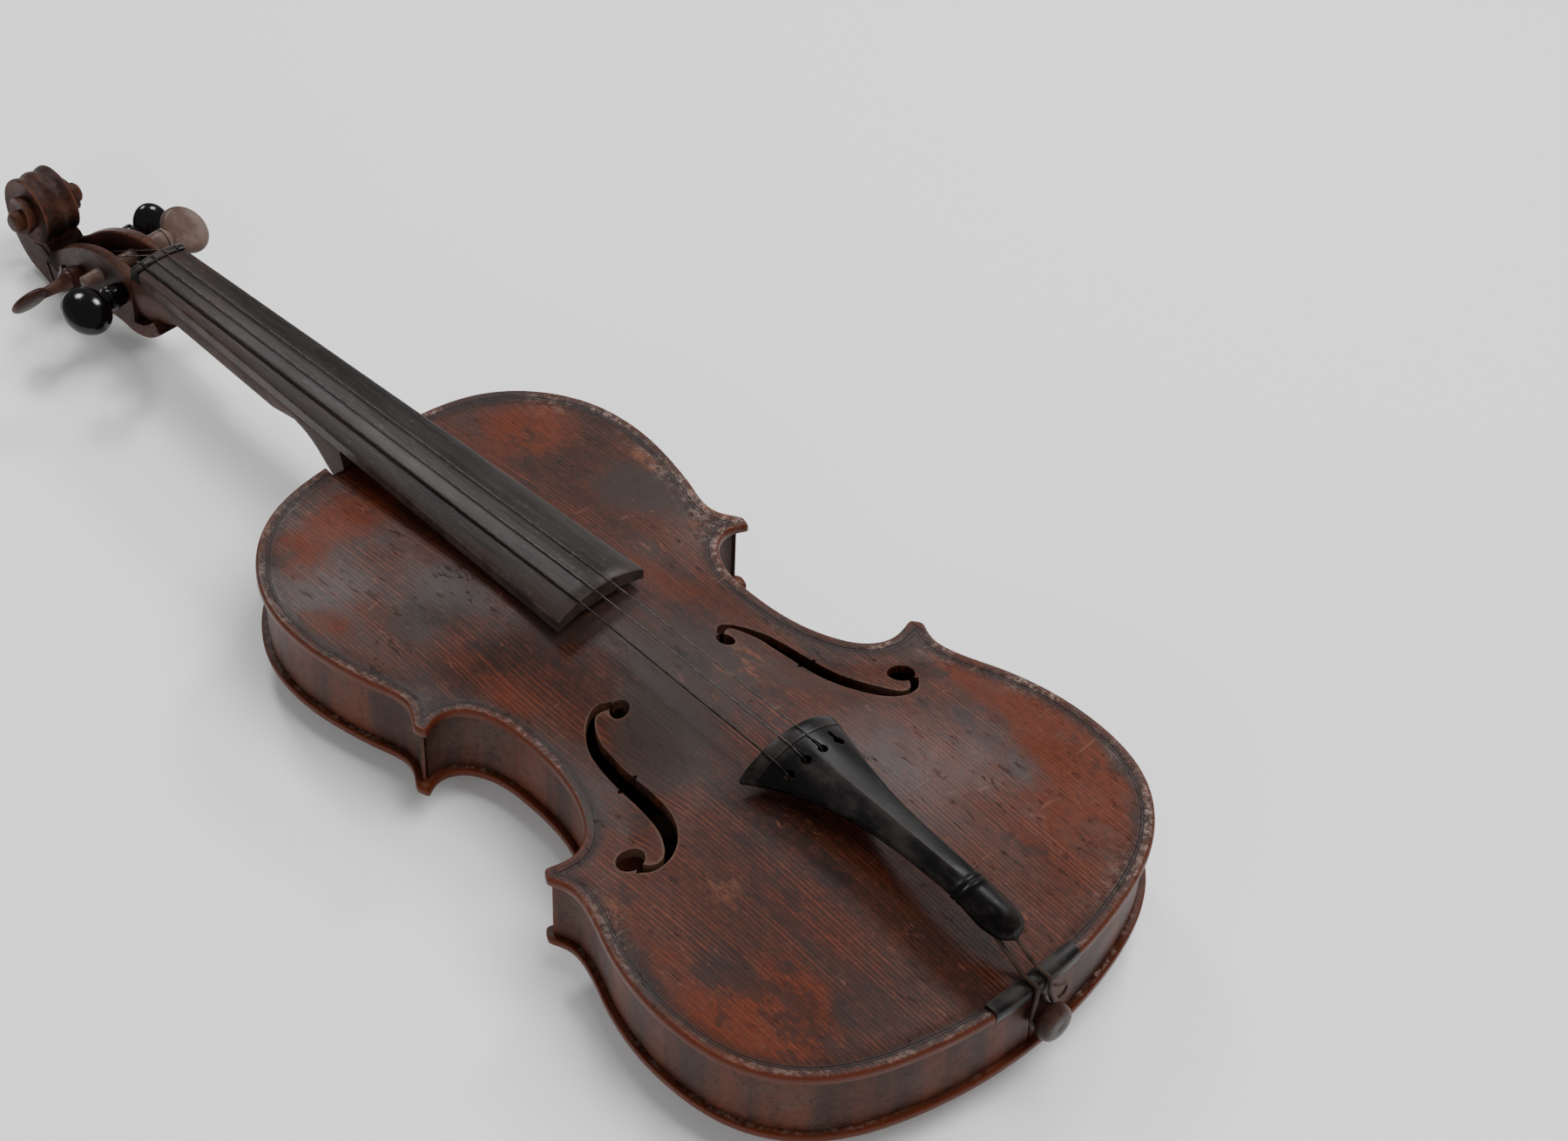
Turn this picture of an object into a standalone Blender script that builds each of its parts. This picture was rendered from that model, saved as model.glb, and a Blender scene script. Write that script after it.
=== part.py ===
"""An old violin lying on its back, built piece by piece the way a maker builds it.

Lengths are metres. The body frame has +X to the treble side, +Y from the tail to the
scroll and +Z up out of the belly, with z = 0 on the glued face of the belly.
"""
import math

import bmesh
import bpy
from mathutils import Matrix, Vector
from mathutils.geometry import delaunay_2d_cdt

MM = 0.001
GAP = 0.3 * MM                 # clearance between neighbouring pieces

# Body
BODY_LENGTH = 359.2 * MM       # along the plates, without the back's button
BODY_WIDTH = 206.4 * MM        # across the lower bouts
RIB_HEIGHT = 27.5 * MM
RIB_THICKNESS = 1.1 * MM
PLATE_EDGE = 3.7 * MM          # thickness of both plates at their edge
PLATE_MIDDLE = 3.0 * MM        # thickness of both plates under the crown
OVERHANG = 2.8 * MM            # plate edge beyond the ribs
BELLY_ARCH = 14.5 * MM
BACK_ARCH = 14.5 * MM
ARCH_MARGIN = 4.5 * MM         # flat border around the arching
GLUE_MARGIN = 9.5 * MM         # flat border inside, for ribs, linings and blocks
ARCH_LENGTH_POWER = 2.2
ARCH_FALL_POWER = 1.4
ARCH_CROSS_POWER = 1.7
LINING_THICKNESS = 2.0 * MM
LINING_HEIGHT = 7.5 * MM
END_BLOCK_WIDTH = 48.0 * MM
END_BLOCK_DEPTH = 17.0 * MM
BACK_BUTTON_WIDTH = 21.6 * MM
BACK_BUTTON_LENGTH = 12.5 * MM
BASS_BAR_WIDTH = 5.5 * MM
BASS_BAR_HEIGHT = 10.0 * MM
BASS_BAR_LENGTH = 250.0 * MM
BASS_BAR_X = -18.5 * MM
SOUND_POST_RADIUS = 3.1 * MM
SOUND_POST_X = 21.0 * MM
SOUND_POST_Y = 152.0 * MM
OUTLINE_TOLERANCE = 0.09 * MM
PLATE_GRID = 15.0 * MM
BLOCK_TOLERANCE = 0.2 * MM
LOWER_BLOCK_REACH = 0.33 * BODY_WIDTH     # how far in along the waist the blocks come
UPPER_BLOCK_REACH = 0.29 * BODY_WIDTH

# Neck, fingerboard and head
NECK_STOP = 127.3 * MM         # belly edge to the nut
NECK_MORTISE = 6.3 * MM        # depth of the root inside the body outline
NECK_OVERSTAND = 9.6 * MM      # fingerboard glue plane above the belly's top edge
NECK_SLOPE = 0.033             # fall of the glue plane towards the nut
NECK_DEPTH_NUT = 13.0 * MM
NECK_DEPTH_ROOT = 15.5 * MM
NECK_ROOT_BOTTOM_WIDTH = 20.0 * MM
BOARD_LENGTH = 265.0 * MM
BOARD_WIDTH_NUT = 23.8 * MM
BOARD_WIDTH_END = 41.4 * MM
BOARD_SIDE = 5.0 * MM
BOARD_RADIUS = 42.0 * MM
BOARD_HOLLOW = 3.2 * MM        # hollow of the underside beyond the neck
NUT_LENGTH = 5.2 * MM
NUT_HEIGHT = 6.3 * MM          # above the glue plane
PEGBOX_WIDTH_NUT = 24.6 * MM
PEGBOX_WIDTH_THROAT = 18.5 * MM
PEGBOX_WALL = 4.8 * MM
PEGBOX_FLOOR = 5.4 * MM
SCROLL_RADIUS = 23.5 * MM
SCROLL_HALF_WIDTH = 8.5 * MM
SCROLL_INNER_RADIUS = 14.5 * MM
SCROLL_INNER_HALF_WIDTH = 12.5 * MM
SCROLL_EYE_RADIUS = 6.0 * MM
SCROLL_EYE_HALF_WIDTH = 17.0 * MM

# Pegs
PEG_RADIUS_HEAD_END = 3.9 * MM
PEG_RADIUS_TIP = 3.1 * MM
PEG_HOLE_CLEARANCE = 0.3 * MM
PEG_TIP_PROUD = 1.6 * MM
PEG_COLLAR_RADIUS = 5.2 * MM
PEG_HEAD_WIDTH = 20.5 * MM
PEG_HEAD_LENGTH = 17.0 * MM
PEG_HEAD_THICKNESS = 8.0 * MM
WINDING_THICKNESS = 0.8 * MM
WINDING_LENGTH = 5.0 * MM
WINDING_REACH = PEG_RADIUS_HEAD_END + GAP + WINDING_THICKNESS
WINDING_CLEARANCE = 0.5 * MM   # between the G winding and the nut's end of the pegbox hollow

# Strings and their holder
STRING_SPACING = 8.0 * MM
STRING_SPACING_NUT = 5.4 * MM
TAILPIECE_LENGTH = 112.0 * MM
TAILPIECE_START = 12.6 * MM    # from the belly's tail edge
TAILPIECE_WIDTH = 45.5 * MM
TAILPIECE_NECK_WIDTH = 13.2 * MM
TAILPIECE_THICKNESS = 4.2 * MM
TAILPIECE_CROWN = 29.5 * MM    # crown above the belly's glued face, at the wide end
TAILPIECE_TAIL_CROWN = 25.0 * MM
TAILPIECE_RADIUS = 33.0 * MM   # cross arching of the wide end
STRING_HOLE_RADIUS = 1.7 * MM
STRING_SLOT_WIDTH = 1.5 * MM
FRET_LENGTH = 2.0 * MM
FRET_RISE = 1.3 * MM
GUT_RADIUS = 0.85 * MM
GUT_HALF_SPACING = 3.1 * MM
SADDLE_WIDTH = 40.6 * MM
SADDLE_DEPTH = 6.6 * MM
SADDLE_RISE = 1.4 * MM         # above the belly's edge
BUTTON_X = 2.0 * MM            # the tail hole sits a little to the treble side
BUTTON_DROP = 12.5 * MM        # below the belly's glued face
BUTTON_SHAFT_RADIUS = 3.4 * MM
BUTTON_NECK_RADIUS = 4.4 * MM
BUTTON_HEAD_RADIUS = 7.4 * MM
BUTTON_LENGTH = 11.5 * MM      # from the rib to the outer face

# Half outline of the plates for the treble side: x and y in millimetres of the pattern
# below, and the heading of the edge in degrees, walking from the tail to the neck.
PATTERN_LENGTH = 359.2
PATTERN_WIDTH = 206.4
LOWER_BOUT = [(0, 0, 0), (50, 7.0, 16), (88.5, 28.6, 48), (103.2, 74, 90), (97.6, 108.4, 108),
              (89.0, 134.5, 97), (92.2, 146.5, 62)]
WAIST = [(89.2, 151, 198), (75, 149.5, 160), (62.6, 162.5, 116), (55.6, 198, 90),
         (60.3, 222.5, 58), (70.5, 229.3, 4), (79.2, 226.2, -32)]
UPPER_BOUT = [(81, 231.5, 122), (75.2, 243.5, 93), (79.1, 260.5, 76), (84.3, 294, 90),
              (76.1, 327.8, 120.5), (52.2, 351, 153), (14, 358.8, 176), (0, 359.2, 180)]
ARCH_WAIST = (50.0, 190.0, 38.0, 6.0)   # half width, middle, reach and spread at the waist

# F hole, pattern millimetres: eyes as x, y, radius; stem stations as x, y, width.
UPPER_EYE = (25.8, 182.8, 3.6)
LOWER_EYE = (66.0, 132.4, 5.2)
F_STEM = [(26.2, 186.3, 2.6), (30.2, 189.1, 3.2), (33.8, 188.7, 2.6), (37.4, 185.2, 3.6),
          (40.7, 179.2, 4.8), (42.2, 172.7, 5.6), (43.1, 166.5, 5.9), (43.7, 160, 6.2),
          (44.3, 152, 6.6), (45.3, 145, 6.8), (46.9, 138, 6.8), (49.3, 131.6, 6.2),
          (52.4, 126.9, 5.0), (56, 123.6, 3.2), (60, 122.4, 2.0), (64, 123.6, 2.8),
          (67.3, 127.6, 4.0)]

# Head in side view, millimetres: from the nut along the neck, and above the glue plane.
CHIN_AND_BACK = [(-16, -16.0), (-10, -21.5), (-2, -27.0), (8, -30.0), (18, -29.8), (32, -32.3),
                 (48, -37.4), (62, -43.6), (72, -47.5)]
CHEEK_TOP = [(3.2, -1.0), (12, -0.6), (20, -0.9), (28, -2.0), (36, -4.4), (44, -8.0),
             (52, -12.6), (60, -18.8), (66, -24.4)]
HOLLOW_END = [(66.5, -37.5), (66.5, -23.0), (62.0, -12.0), (52.0, 4.0)]
SCROLL_CENTRE = (80.5, -23.5)
PEG_PLACES = {"g": (12.2, -11.0, -1, 200.0), "e": (29.4, -12.5, 1, 205.0),
              "d": (45.4, -22.4, -1, 300.0), "a": (59.0, -29.2, 1, 230.0)}
PEG_REACH = {"g": 30.0 * MM, "e": 31.5 * MM, "d": 36.0 * MM, "a": 35.0 * MM}

WINDING_PLACES = {"g": -3.2 * MM, "d": -2.2 * MM, "a": 1.4 * MM}
STRINGS = {"g": (-1.5, 0.45 * MM), "d": (-0.5, 0.40 * MM), "a": (0.5, 0.35 * MM)}

COLOURS = {
    "belly_varnish": ((0.16, 0.050, 0.028), 0.45, 0.0),
    "maple_varnish": ((0.12, 0.040, 0.026), 0.45, 0.0),
    "bare_spruce": ((0.55, 0.42, 0.27), 0.8, 0.0),
    "head_varnish": ((0.085, 0.045, 0.035), 0.5, 0.0),
    "board_ebony": ((0.035, 0.030, 0.028), 0.5, 0.0),
    "black_fitting": ((0.012, 0.010, 0.010), 0.3, 0.0),
    "brown_fitting": ((0.11, 0.055, 0.040), 0.5, 0.0),
    "grey_fitting": ((0.17, 0.115, 0.095), 0.55, 0.0),
    "gut": ((0.16, 0.09, 0.055), 0.6, 0.0),
    "string_steel": ((0.22, 0.21, 0.20), 0.35, 1.0),
}


# ---------------------------------------------------------------- small helpers
def clear_scene():
    """Remove whatever the file starts with."""
    for old in list(bpy.data.objects):
        bpy.data.objects.remove(old, do_unlink=True)


def new_collection(name):
    """A collection linked under the scene."""
    collection = bpy.data.collections.new(name)
    bpy.context.scene.collection.children.link(collection)
    return collection


def material_for(node, finish):
    """A Principled material of its own for one node."""
    colour, roughness, metallic = COLOURS[finish]
    material = bpy.data.materials.new(node)
    material.use_nodes = True
    shader = material.node_tree.nodes["Principled BSDF"]
    shader.inputs["Base Color"].default_value = (*colour, 1.0)
    shader.inputs["Roughness"].default_value = roughness
    shader.inputs["Metallic"].default_value = metallic
    material.diffuse_color = (*colour, 1.0)
    return material


def finish_part(obj, finish, smooth_angle=35.0):
    """Link a finished piece to the violin, with its material and shading."""
    for collection in list(obj.users_collection):
        collection.objects.unlink(obj)
    PARTS.objects.link(obj)
    obj.data.materials.clear()
    obj.data.materials.append(material_for(obj.name, finish))
    obj.data.shade_smooth()
    obj.data.set_sharp_from_angle(angle=math.radians(smooth_angle))
    return obj


def mesh_object(name, vertices, faces):
    """A mesh object whose faces all look outwards."""
    mesh = bpy.data.meshes.new(name)
    mesh.from_pydata([tuple(v) for v in vertices], [], faces)
    work = bmesh.new()
    work.from_mesh(mesh)
    bmesh.ops.remove_doubles(work, verts=work.verts, dist=0.00001)
    bmesh.ops.recalc_face_normals(work, faces=work.faces)
    work.to_mesh(mesh)
    work.free()
    obj = bpy.data.objects.new(name, mesh)
    PARTS.objects.link(obj)
    return obj


def loft(name, rings):
    """A closed body through rings of equal point count, capped at both ends."""
    count = len(rings[0])
    vertices = [point for ring in rings for point in ring]
    faces = []
    for r in range(len(rings) - 1):
        for i in range(count):
            j = (i + 1) % count
            faces.append((r * count + i, r * count + j, (r + 1) * count + j, (r + 1) * count + i))
    faces.append(tuple(reversed(range(count))))
    faces.append(tuple((len(rings) - 1) * count + i for i in range(count)))
    return mesh_object(name, vertices, faces)


def curve_to_mesh(curve_object, name):
    """Turn a curve into a clean mesh object and drop the curve."""
    bpy.context.view_layer.update()
    evaluated = curve_object.evaluated_get(bpy.context.evaluated_depsgraph_get())
    mesh = bpy.data.meshes.new_from_object(evaluated)
    mesh.name = name
    work = bmesh.new()
    work.from_mesh(mesh)
    bmesh.ops.remove_doubles(work, verts=work.verts, dist=0.00001)
    bmesh.ops.recalc_face_normals(work, faces=work.faces)
    work.to_mesh(mesh)
    work.free()
    obj = bpy.data.objects.new(name, mesh)
    obj.matrix_world = curve_object.matrix_world.copy()
    bpy.data.objects.remove(curve_object, do_unlink=True)
    PARTS.objects.link(obj)
    return obj


def flat_piece(name, outline, z_low, z_high):
    """An upright prism over a flat outline of (x, y) points."""
    curve = bpy.data.curves.new(name + "_outline", "CURVE")
    curve.dimensions = "2D"
    curve.fill_mode = "BOTH"
    curve.render_resolution_u = 0
    curve.extrude = (z_high - z_low) / 2
    spline = curve.splines.new("POLY")
    spline.points.add(len(outline) - 1)
    for point, (x, y) in zip(spline.points, outline):
        point.co = (x, y, 0, 1)
    spline.use_cyclic_u = True
    guide = bpy.data.objects.new(name + "_outline", curve)
    PARTS.objects.link(guide)
    obj = curve_to_mesh(guide, name)
    obj.data.transform(Matrix.Translation((0, 0, (z_low + z_high) / 2)))
    return obj


def tube(name, path, radius):
    """A round cord along a list of points."""
    curve = bpy.data.curves.new(name + "_path", "CURVE")
    curve.dimensions = "3D"
    curve.fill_mode = "FULL"
    curve.render_resolution_u = 0
    curve.bevel_depth = radius
    curve.bevel_resolution = 1
    curve.use_fill_caps = True
    spline = curve.splines.new("POLY")
    spline.points.add(len(path) - 1)
    for point, place in zip(spline.points, path):
        point.co = (*place, 1)
    guide = bpy.data.objects.new(name + "_path", curve)
    PARTS.objects.link(guide)
    return curve_to_mesh(guide, name)


def turned(name, profile, steps):
    """A turned body about +X from (x, radius) points; both ends close on the axis."""
    mesh = bpy.data.meshes.new(name)
    points = [(x, 0.0, r) for x, r in profile]
    edges = [(i, i + 1) for i in range(len(points) - 1)]
    mesh.from_pydata(points, edges, [])
    obj = bpy.data.objects.new(name, mesh)
    PARTS.objects.link(obj)
    screw = obj.modifiers.new("turn", "SCREW")
    screw.axis = "X"
    screw.steps = steps
    screw.render_steps = steps
    screw.use_merge_vertices = True
    screw.merge_threshold = 0.00001
    screw.use_smooth_shade = True
    return bake(obj)


def bake(obj):
    """Apply every modifier of an object to its mesh."""
    bpy.context.view_layer.update()
    evaluated = obj.evaluated_get(bpy.context.evaluated_depsgraph_get())
    mesh = bpy.data.meshes.new_from_object(evaluated)
    mesh.name = obj.name
    obj.modifiers.clear()
    obj.data = mesh
    work = bmesh.new()
    work.from_mesh(mesh)
    bmesh.ops.remove_doubles(work, verts=work.verts, dist=0.00001)
    bmesh.ops.recalc_face_normals(work, faces=work.faces)
    work.to_mesh(mesh)
    work.free()
    return obj


def combine(obj, other, operation):
    """Cut or join one body with another, then drop the other."""
    boolean = obj.modifiers.new(operation.lower(), "BOOLEAN")
    boolean.operation = operation
    boolean.solver = "EXACT"
    boolean.object = other
    bake(obj)
    bpy.data.objects.remove(other, do_unlink=True)
    return obj


def box(name, low, high):
    """An axis-aligned block."""
    bpy.ops.mesh.primitive_cube_add(size=1.0)
    obj = bpy.context.object
    obj.name = name
    size = [h - l for l, h in zip(low, high)]
    middle = [(h + l) / 2 for l, h in zip(low, high)]
    obj.data.transform(Matrix.Translation(middle) @ Matrix.Diagonal((*size, 1)))
    return obj


def rod(name, centre, radius, length, axis, sides=16):
    """A plain cylinder along X, Y or Z."""
    bpy.ops.mesh.primitive_cylinder_add(vertices=sides, radius=radius, depth=length)
    obj = bpy.context.object
    obj.name = name
    turn = {"X": Matrix.Rotation(math.pi / 2, 4, "Y"), "Y": Matrix.Rotation(math.pi / 2, 4, "X"),
            "Z": Matrix.Identity(4)}[axis]
    obj.data.transform(Matrix.Translation(centre) @ turn)
    return obj


# ---------------------------------------------------------------- flat curves
def walk(anchors, step=0.5):
    """Dense points along cubic arcs through (x, y, heading) anchors, in metres."""
    fx = BODY_WIDTH / (PATTERN_WIDTH * MM)
    fy = BODY_LENGTH / (PATTERN_LENGTH * MM)
    points = []
    for (x0, y0, h0), (x1, y1, h1) in zip(anchors, anchors[1:]):
        chord = math.hypot(x1 - x0, y1 - y0)
        bend = math.radians(abs((h1 - h0 + 180) % 360 - 180))
        reach = chord * (0.3333 + 0.05 * bend * bend)
        ax, ay = x0 + reach * math.cos(math.radians(h0)), y0 + reach * math.sin(math.radians(h0))
        bx, by = x1 - reach * math.cos(math.radians(h1)), y1 - reach * math.sin(math.radians(h1))
        count = max(4, int(chord / step))
        for i in range(count):
            t = i / count
            s = 1 - t
            weights = (s ** 3, 3 * s * s * t, 3 * s * t * t, t ** 3)
            x = sum(w * v for w, v in zip(weights, (x0, ax, bx, x1)))
            y = sum(w * v for w, v in zip(weights, (y0, ay, by, y1)))
            points.append((x * fx * MM, y * fy * MM))
    x1, y1, _ = anchors[-1]
    points.append((x1 * fx * MM, y1 * fy * MM))
    return points


def inward(points, distance):
    """The same walk moved to its left, which is the inside of the body."""
    moved = []
    for i, (x, y) in enumerate(points):
        x0, y0 = points[max(i - 1, 0)]
        x1, y1 = points[min(i + 1, len(points) - 1)]
        length = math.hypot(x1 - x0, y1 - y0)
        moved.append((x - (y1 - y0) / length * distance, y + (x1 - x0) / length * distance))
    return moved


def thinned(points, tolerance=OUTLINE_TOLERANCE):
    """The fewest points that keep a walk within the tolerance."""
    if len(points) < 3:
        return list(points)
    (x0, y0), (x1, y1) = points[0], points[-1]
    length = math.hypot(x1 - x0, y1 - y0)
    worst, at = 0.0, None
    for i in range(1, len(points) - 1):
        x, y = points[i]
        if length < 1e-9:
            off = math.hypot(x - x0, y - y0)
        else:
            off = abs((x1 - x0) * (y0 - y) - (x0 - x) * (y1 - y0)) / length
        if off > worst:
            worst, at = off, i
    if worst <= tolerance:
        return [points[0], points[-1]]
    return thinned(points[:at + 1], tolerance)[:-1] + thinned(points[at:], tolerance)


def nearest(point, points):
    """Distance from a point to a walk."""
    return min(math.hypot(point[0] - x, point[1] - y) for x, y in points)


def inside(point, loop):
    """Whether a point lies inside a closed loop."""
    x, y = point
    hit = False
    for (x0, y0), (x1, y1) in zip(loop, loop[1:] + loop[:1]):
        if (y0 > y) != (y1 > y) and x < x0 + (y - y0) / (y1 - y0) * (x1 - x0):
            hit = not hit
    return hit


def mirrored(points):
    """The bass-side copy of a treble-side walk, walked the other way."""
    return [(-x, y) for x, y in reversed(points)]


LOWER = walk(LOWER_BOUT)
MIDDLE = walk(WAIST)
UPPER = walk(UPPER_BOUT)


def plate_outline(button):
    """Closed outline of a plate; the back carries a round button under the neck."""
    half = thinned(LOWER) + thinned(MIDDLE) + thinned(UPPER)[:-1]
    if button:
        width, length = BACK_BUTTON_WIDTH / 2, BACK_BUTTON_LENGTH
        half = [p for p in half if p[1] < BODY_LENGTH * 0.9 or p[0] > width + 1.0 * MM]
        half.append((width, BODY_LENGTH - 0.2 * MM))
        for i in range(6):
            angle = math.radians(15 * i)
            half.append((width * math.cos(angle),
                         BODY_LENGTH + length - width + width * math.sin(angle)))
        half.append((0.0, BODY_LENGTH + length))
    else:
        half.append((0.0, BODY_LENGTH))
    return half[:-1] + mirrored(half)[:-1]


# ---------------------------------------------------------------- arching
def edge_half_width(y):
    """Half width of a bout at a height; the waist is left wide open."""
    for walk_points in (LOWER, UPPER):
        for (x0, y0), (x1, y1) in zip(walk_points, walk_points[1:]):
            if y0 <= y <= y1 and y1 > y0:
                return x0 + (y - y0) / (y1 - y0) * (x1 - x0)
    if y <= 0 or y >= BODY_LENGTH:
        return 0.0
    return BODY_WIDTH


def arch_half_width(y, margin):
    """Half width of the arched part of a plate."""
    half, middle, reach, spread = ARCH_WAIST
    fx = BODY_WIDTH / PATTERN_WIDTH
    fy = BODY_LENGTH / PATTERN_LENGTH
    away = abs(y / fy - middle) / reach
    waist = (half + spread * min(away, 4.0) ** 4) * fx - (margin - ARCH_MARGIN)
    bout = edge_half_width(y) - margin
    soft = 6.0 * MM
    return max(0.5 * MM, -soft * math.log(math.exp(-waist / soft) + math.exp(-bout / soft)))


def arching(x, y, height, margin):
    """Rise of the arch over its flat border."""
    along = abs(y - BODY_LENGTH / 2) / (BODY_LENGTH / 2 - margin)
    across = abs(x) / arch_half_width(y, margin)
    if along >= 1 or across >= 1:
        return 0.0
    ridge = (1 - along ** ARCH_LENGTH_POWER) ** ARCH_FALL_POWER
    return height * ridge * (1 - across * across) ** ARCH_CROSS_POWER


def belly_top(x, y):
    """Outer face of the belly."""
    return PLATE_EDGE + arching(x, y, BELLY_ARCH, ARCH_MARGIN)


def belly_inside(x, y):
    """Inner face of the belly."""
    return arching(x, y, BELLY_ARCH + PLATE_EDGE - PLATE_MIDDLE, GLUE_MARGIN)


BACK_LEVEL = -(RIB_HEIGHT + 2 * GAP)


def back_inside(x, y):
    """Inner face of the back."""
    return BACK_LEVEL - arching(x, y, BACK_ARCH + PLATE_EDGE - PLATE_MIDDLE, GLUE_MARGIN)


def back_outside(x, y):
    """Outer face of the back."""
    return BACK_LEVEL - PLATE_EDGE - arching(x, y, BACK_ARCH, ARCH_MARGIN)


def plate(name, outline, upper, lower):
    """An arched plate: two carved faces over one outline, joined by a square edge."""
    fill = []
    for bout in (LOWER, MIDDLE, UPPER):
        fill += thinned(inward(bout, ARCH_MARGIN), 0.25 * MM)
    fill += [(-x, y) for x, y in fill]
    rows = int(BODY_LENGTH / PLATE_GRID)
    for row in range(1, rows):
        y = BODY_LENGTH * row / rows
        for column in range(-8, 9):
            fill.append(((column + 0.5 * (row % 2)) * PLATE_GRID, y))
    dense = LOWER + MIDDLE + UPPER
    dense = dense + [(-x, y) for x, y in dense]
    kept = []
    for p in fill:
        room = nearest(p, kept) if kept else 1.0
        if inside(p, outline) and nearest(p, dense) > 0.98 * ARCH_MARGIN and room > 5 * MM:
            kept.append(p)
    flat = [Vector(p) for p in outline + kept]
    rim = len(outline)
    edges = [(i, (i + 1) % rim) for i in range(rim)]
    found, _, faces, _, _, _ = delaunay_2d_cdt(flat, edges, [list(range(rim))], 1, 1e-7)
    count = len(found)
    vertices = [(p.x, p.y, upper(p.x, p.y)) for p in found]
    vertices += [(p.x, p.y, lower(p.x, p.y)) for p in found]
    solid = [tuple(f) for f in faces]
    solid += [tuple(count + i for i in reversed(f)) for f in faces]
    solid += [(i, (i + 1) % rim, count + (i + 1) % rim, count + i) for i in range(rim)]
    return mesh_object(name, vertices, solid)


# ---------------------------------------------------------------- the body
def f_hole_cutters(side):
    """Two eyes and a curved stem, as upright cutters."""
    fx = side * BODY_WIDTH / PATTERN_WIDTH
    fy = BODY_LENGTH / PATTERN_LENGTH
    cutters = []
    for x, y, radius in (UPPER_EYE, LOWER_EYE):
        cutters.append(rod("eye_cutter", (x * fx, y * fy, 0.0), radius * MM, 80 * MM, "Z", 18))
    left, right = [], []
    for i, (x, y, width) in enumerate(F_STEM):
        x0, y0, _ = F_STEM[max(i - 1, 0)]
        x1, y1, _ = F_STEM[min(i + 1, len(F_STEM) - 1)]
        length = math.hypot(x1 - x0, y1 - y0)
        nx, ny = -(y1 - y0) / length * width / 2, (x1 - x0) / length * width / 2
        left.append(((x + nx) * fx, (y + ny) * fy))
        right.append(((x - nx) * fx, (y - ny) * fy))
    cutters.append(flat_piece("stem_cutter", left + right[::-1], -40 * MM, 40 * MM))
    return cutters


def make_belly():
    """The spruce belly with its f holes and the notches for saddle and neck."""
    belly = plate("belly_plate", plate_outline(False), belly_top, belly_inside)
    for side in (-1, 1):
        for cutter in f_hole_cutters(side):
            combine(belly, cutter, "DIFFERENCE")
    half = SADDLE_WIDTH / 2 + GAP
    combine(belly, box("saddle_notch", (-half, -10 * MM, -10 * MM),
                       (half, SADDLE_DEPTH + GAP, 20 * MM)), "DIFFERENCE")
    half = neck_width(BODY_LENGTH) / 2 + GAP
    combine(belly, box("neck_notch", (-half, BODY_LENGTH - NECK_MORTISE - GAP, -10 * MM),
                       (half, BODY_LENGTH + 10 * MM, 20 * MM)), "DIFFERENCE")
    finish_part(belly, "belly_varnish", 30)


def make_back():
    """The maple back with its button."""
    back = plate("back_plate", plate_outline(True),
                 back_inside, back_outside)
    finish_part(back, "maple_varnish", 30)


def strip(points, near, far, keep):
    """Flat outline of a bent strip between two distances inside a walk."""
    outer = inward(points, near)
    inner = inward(points, far)
    used = [i for i in range(len(points)) if keep(outer[i]) and keep(inner[i])]
    outer = thinned([outer[i] for i in used])
    inner = thinned([inner[i] for i in used])
    return outer + inner[::-1]


def sided(outline, side):
    """An outline for the treble (+1) or bass (-1) side."""
    return outline if side > 0 else mirrored(outline)


def make_ribs():
    """Six bent maple ribs between the plates."""
    near, far = OVERHANG, OVERHANG + RIB_THICKNESS
    root = neck_width(BODY_LENGTH) / 2 + GAP
    clear = far + GAP
    spans = {
        "lower": (LOWER, lambda p: p[0] > GAP / 2 and nearest(p, MIDDLE) > near),
        "middle": (MIDDLE, lambda p: nearest(p, LOWER) > clear and nearest(p, UPPER) > clear),
        "upper": (UPPER, lambda p: p[0] > root and nearest(p, MIDDLE) > near),
    }
    for bout, (points, keep) in spans.items():
        flat = strip(points, near, far, keep)
        for side, label in ((-1, "bass"), (1, "treble")):
            rib = flat_piece(f"rib_{bout}_{label}", sided(flat, side), -GAP - RIB_HEIGHT, -GAP)
            if bout == "lower":
                hole = rod("button_hole", (BUTTON_X, 0, -BUTTON_DROP),
                           BUTTON_SHAFT_RADIUS + GAP, 30 * MM, "Y")
                combine(rib, hole, "DIFFERENCE")
            finish_part(rib, "maple_varnish")


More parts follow.
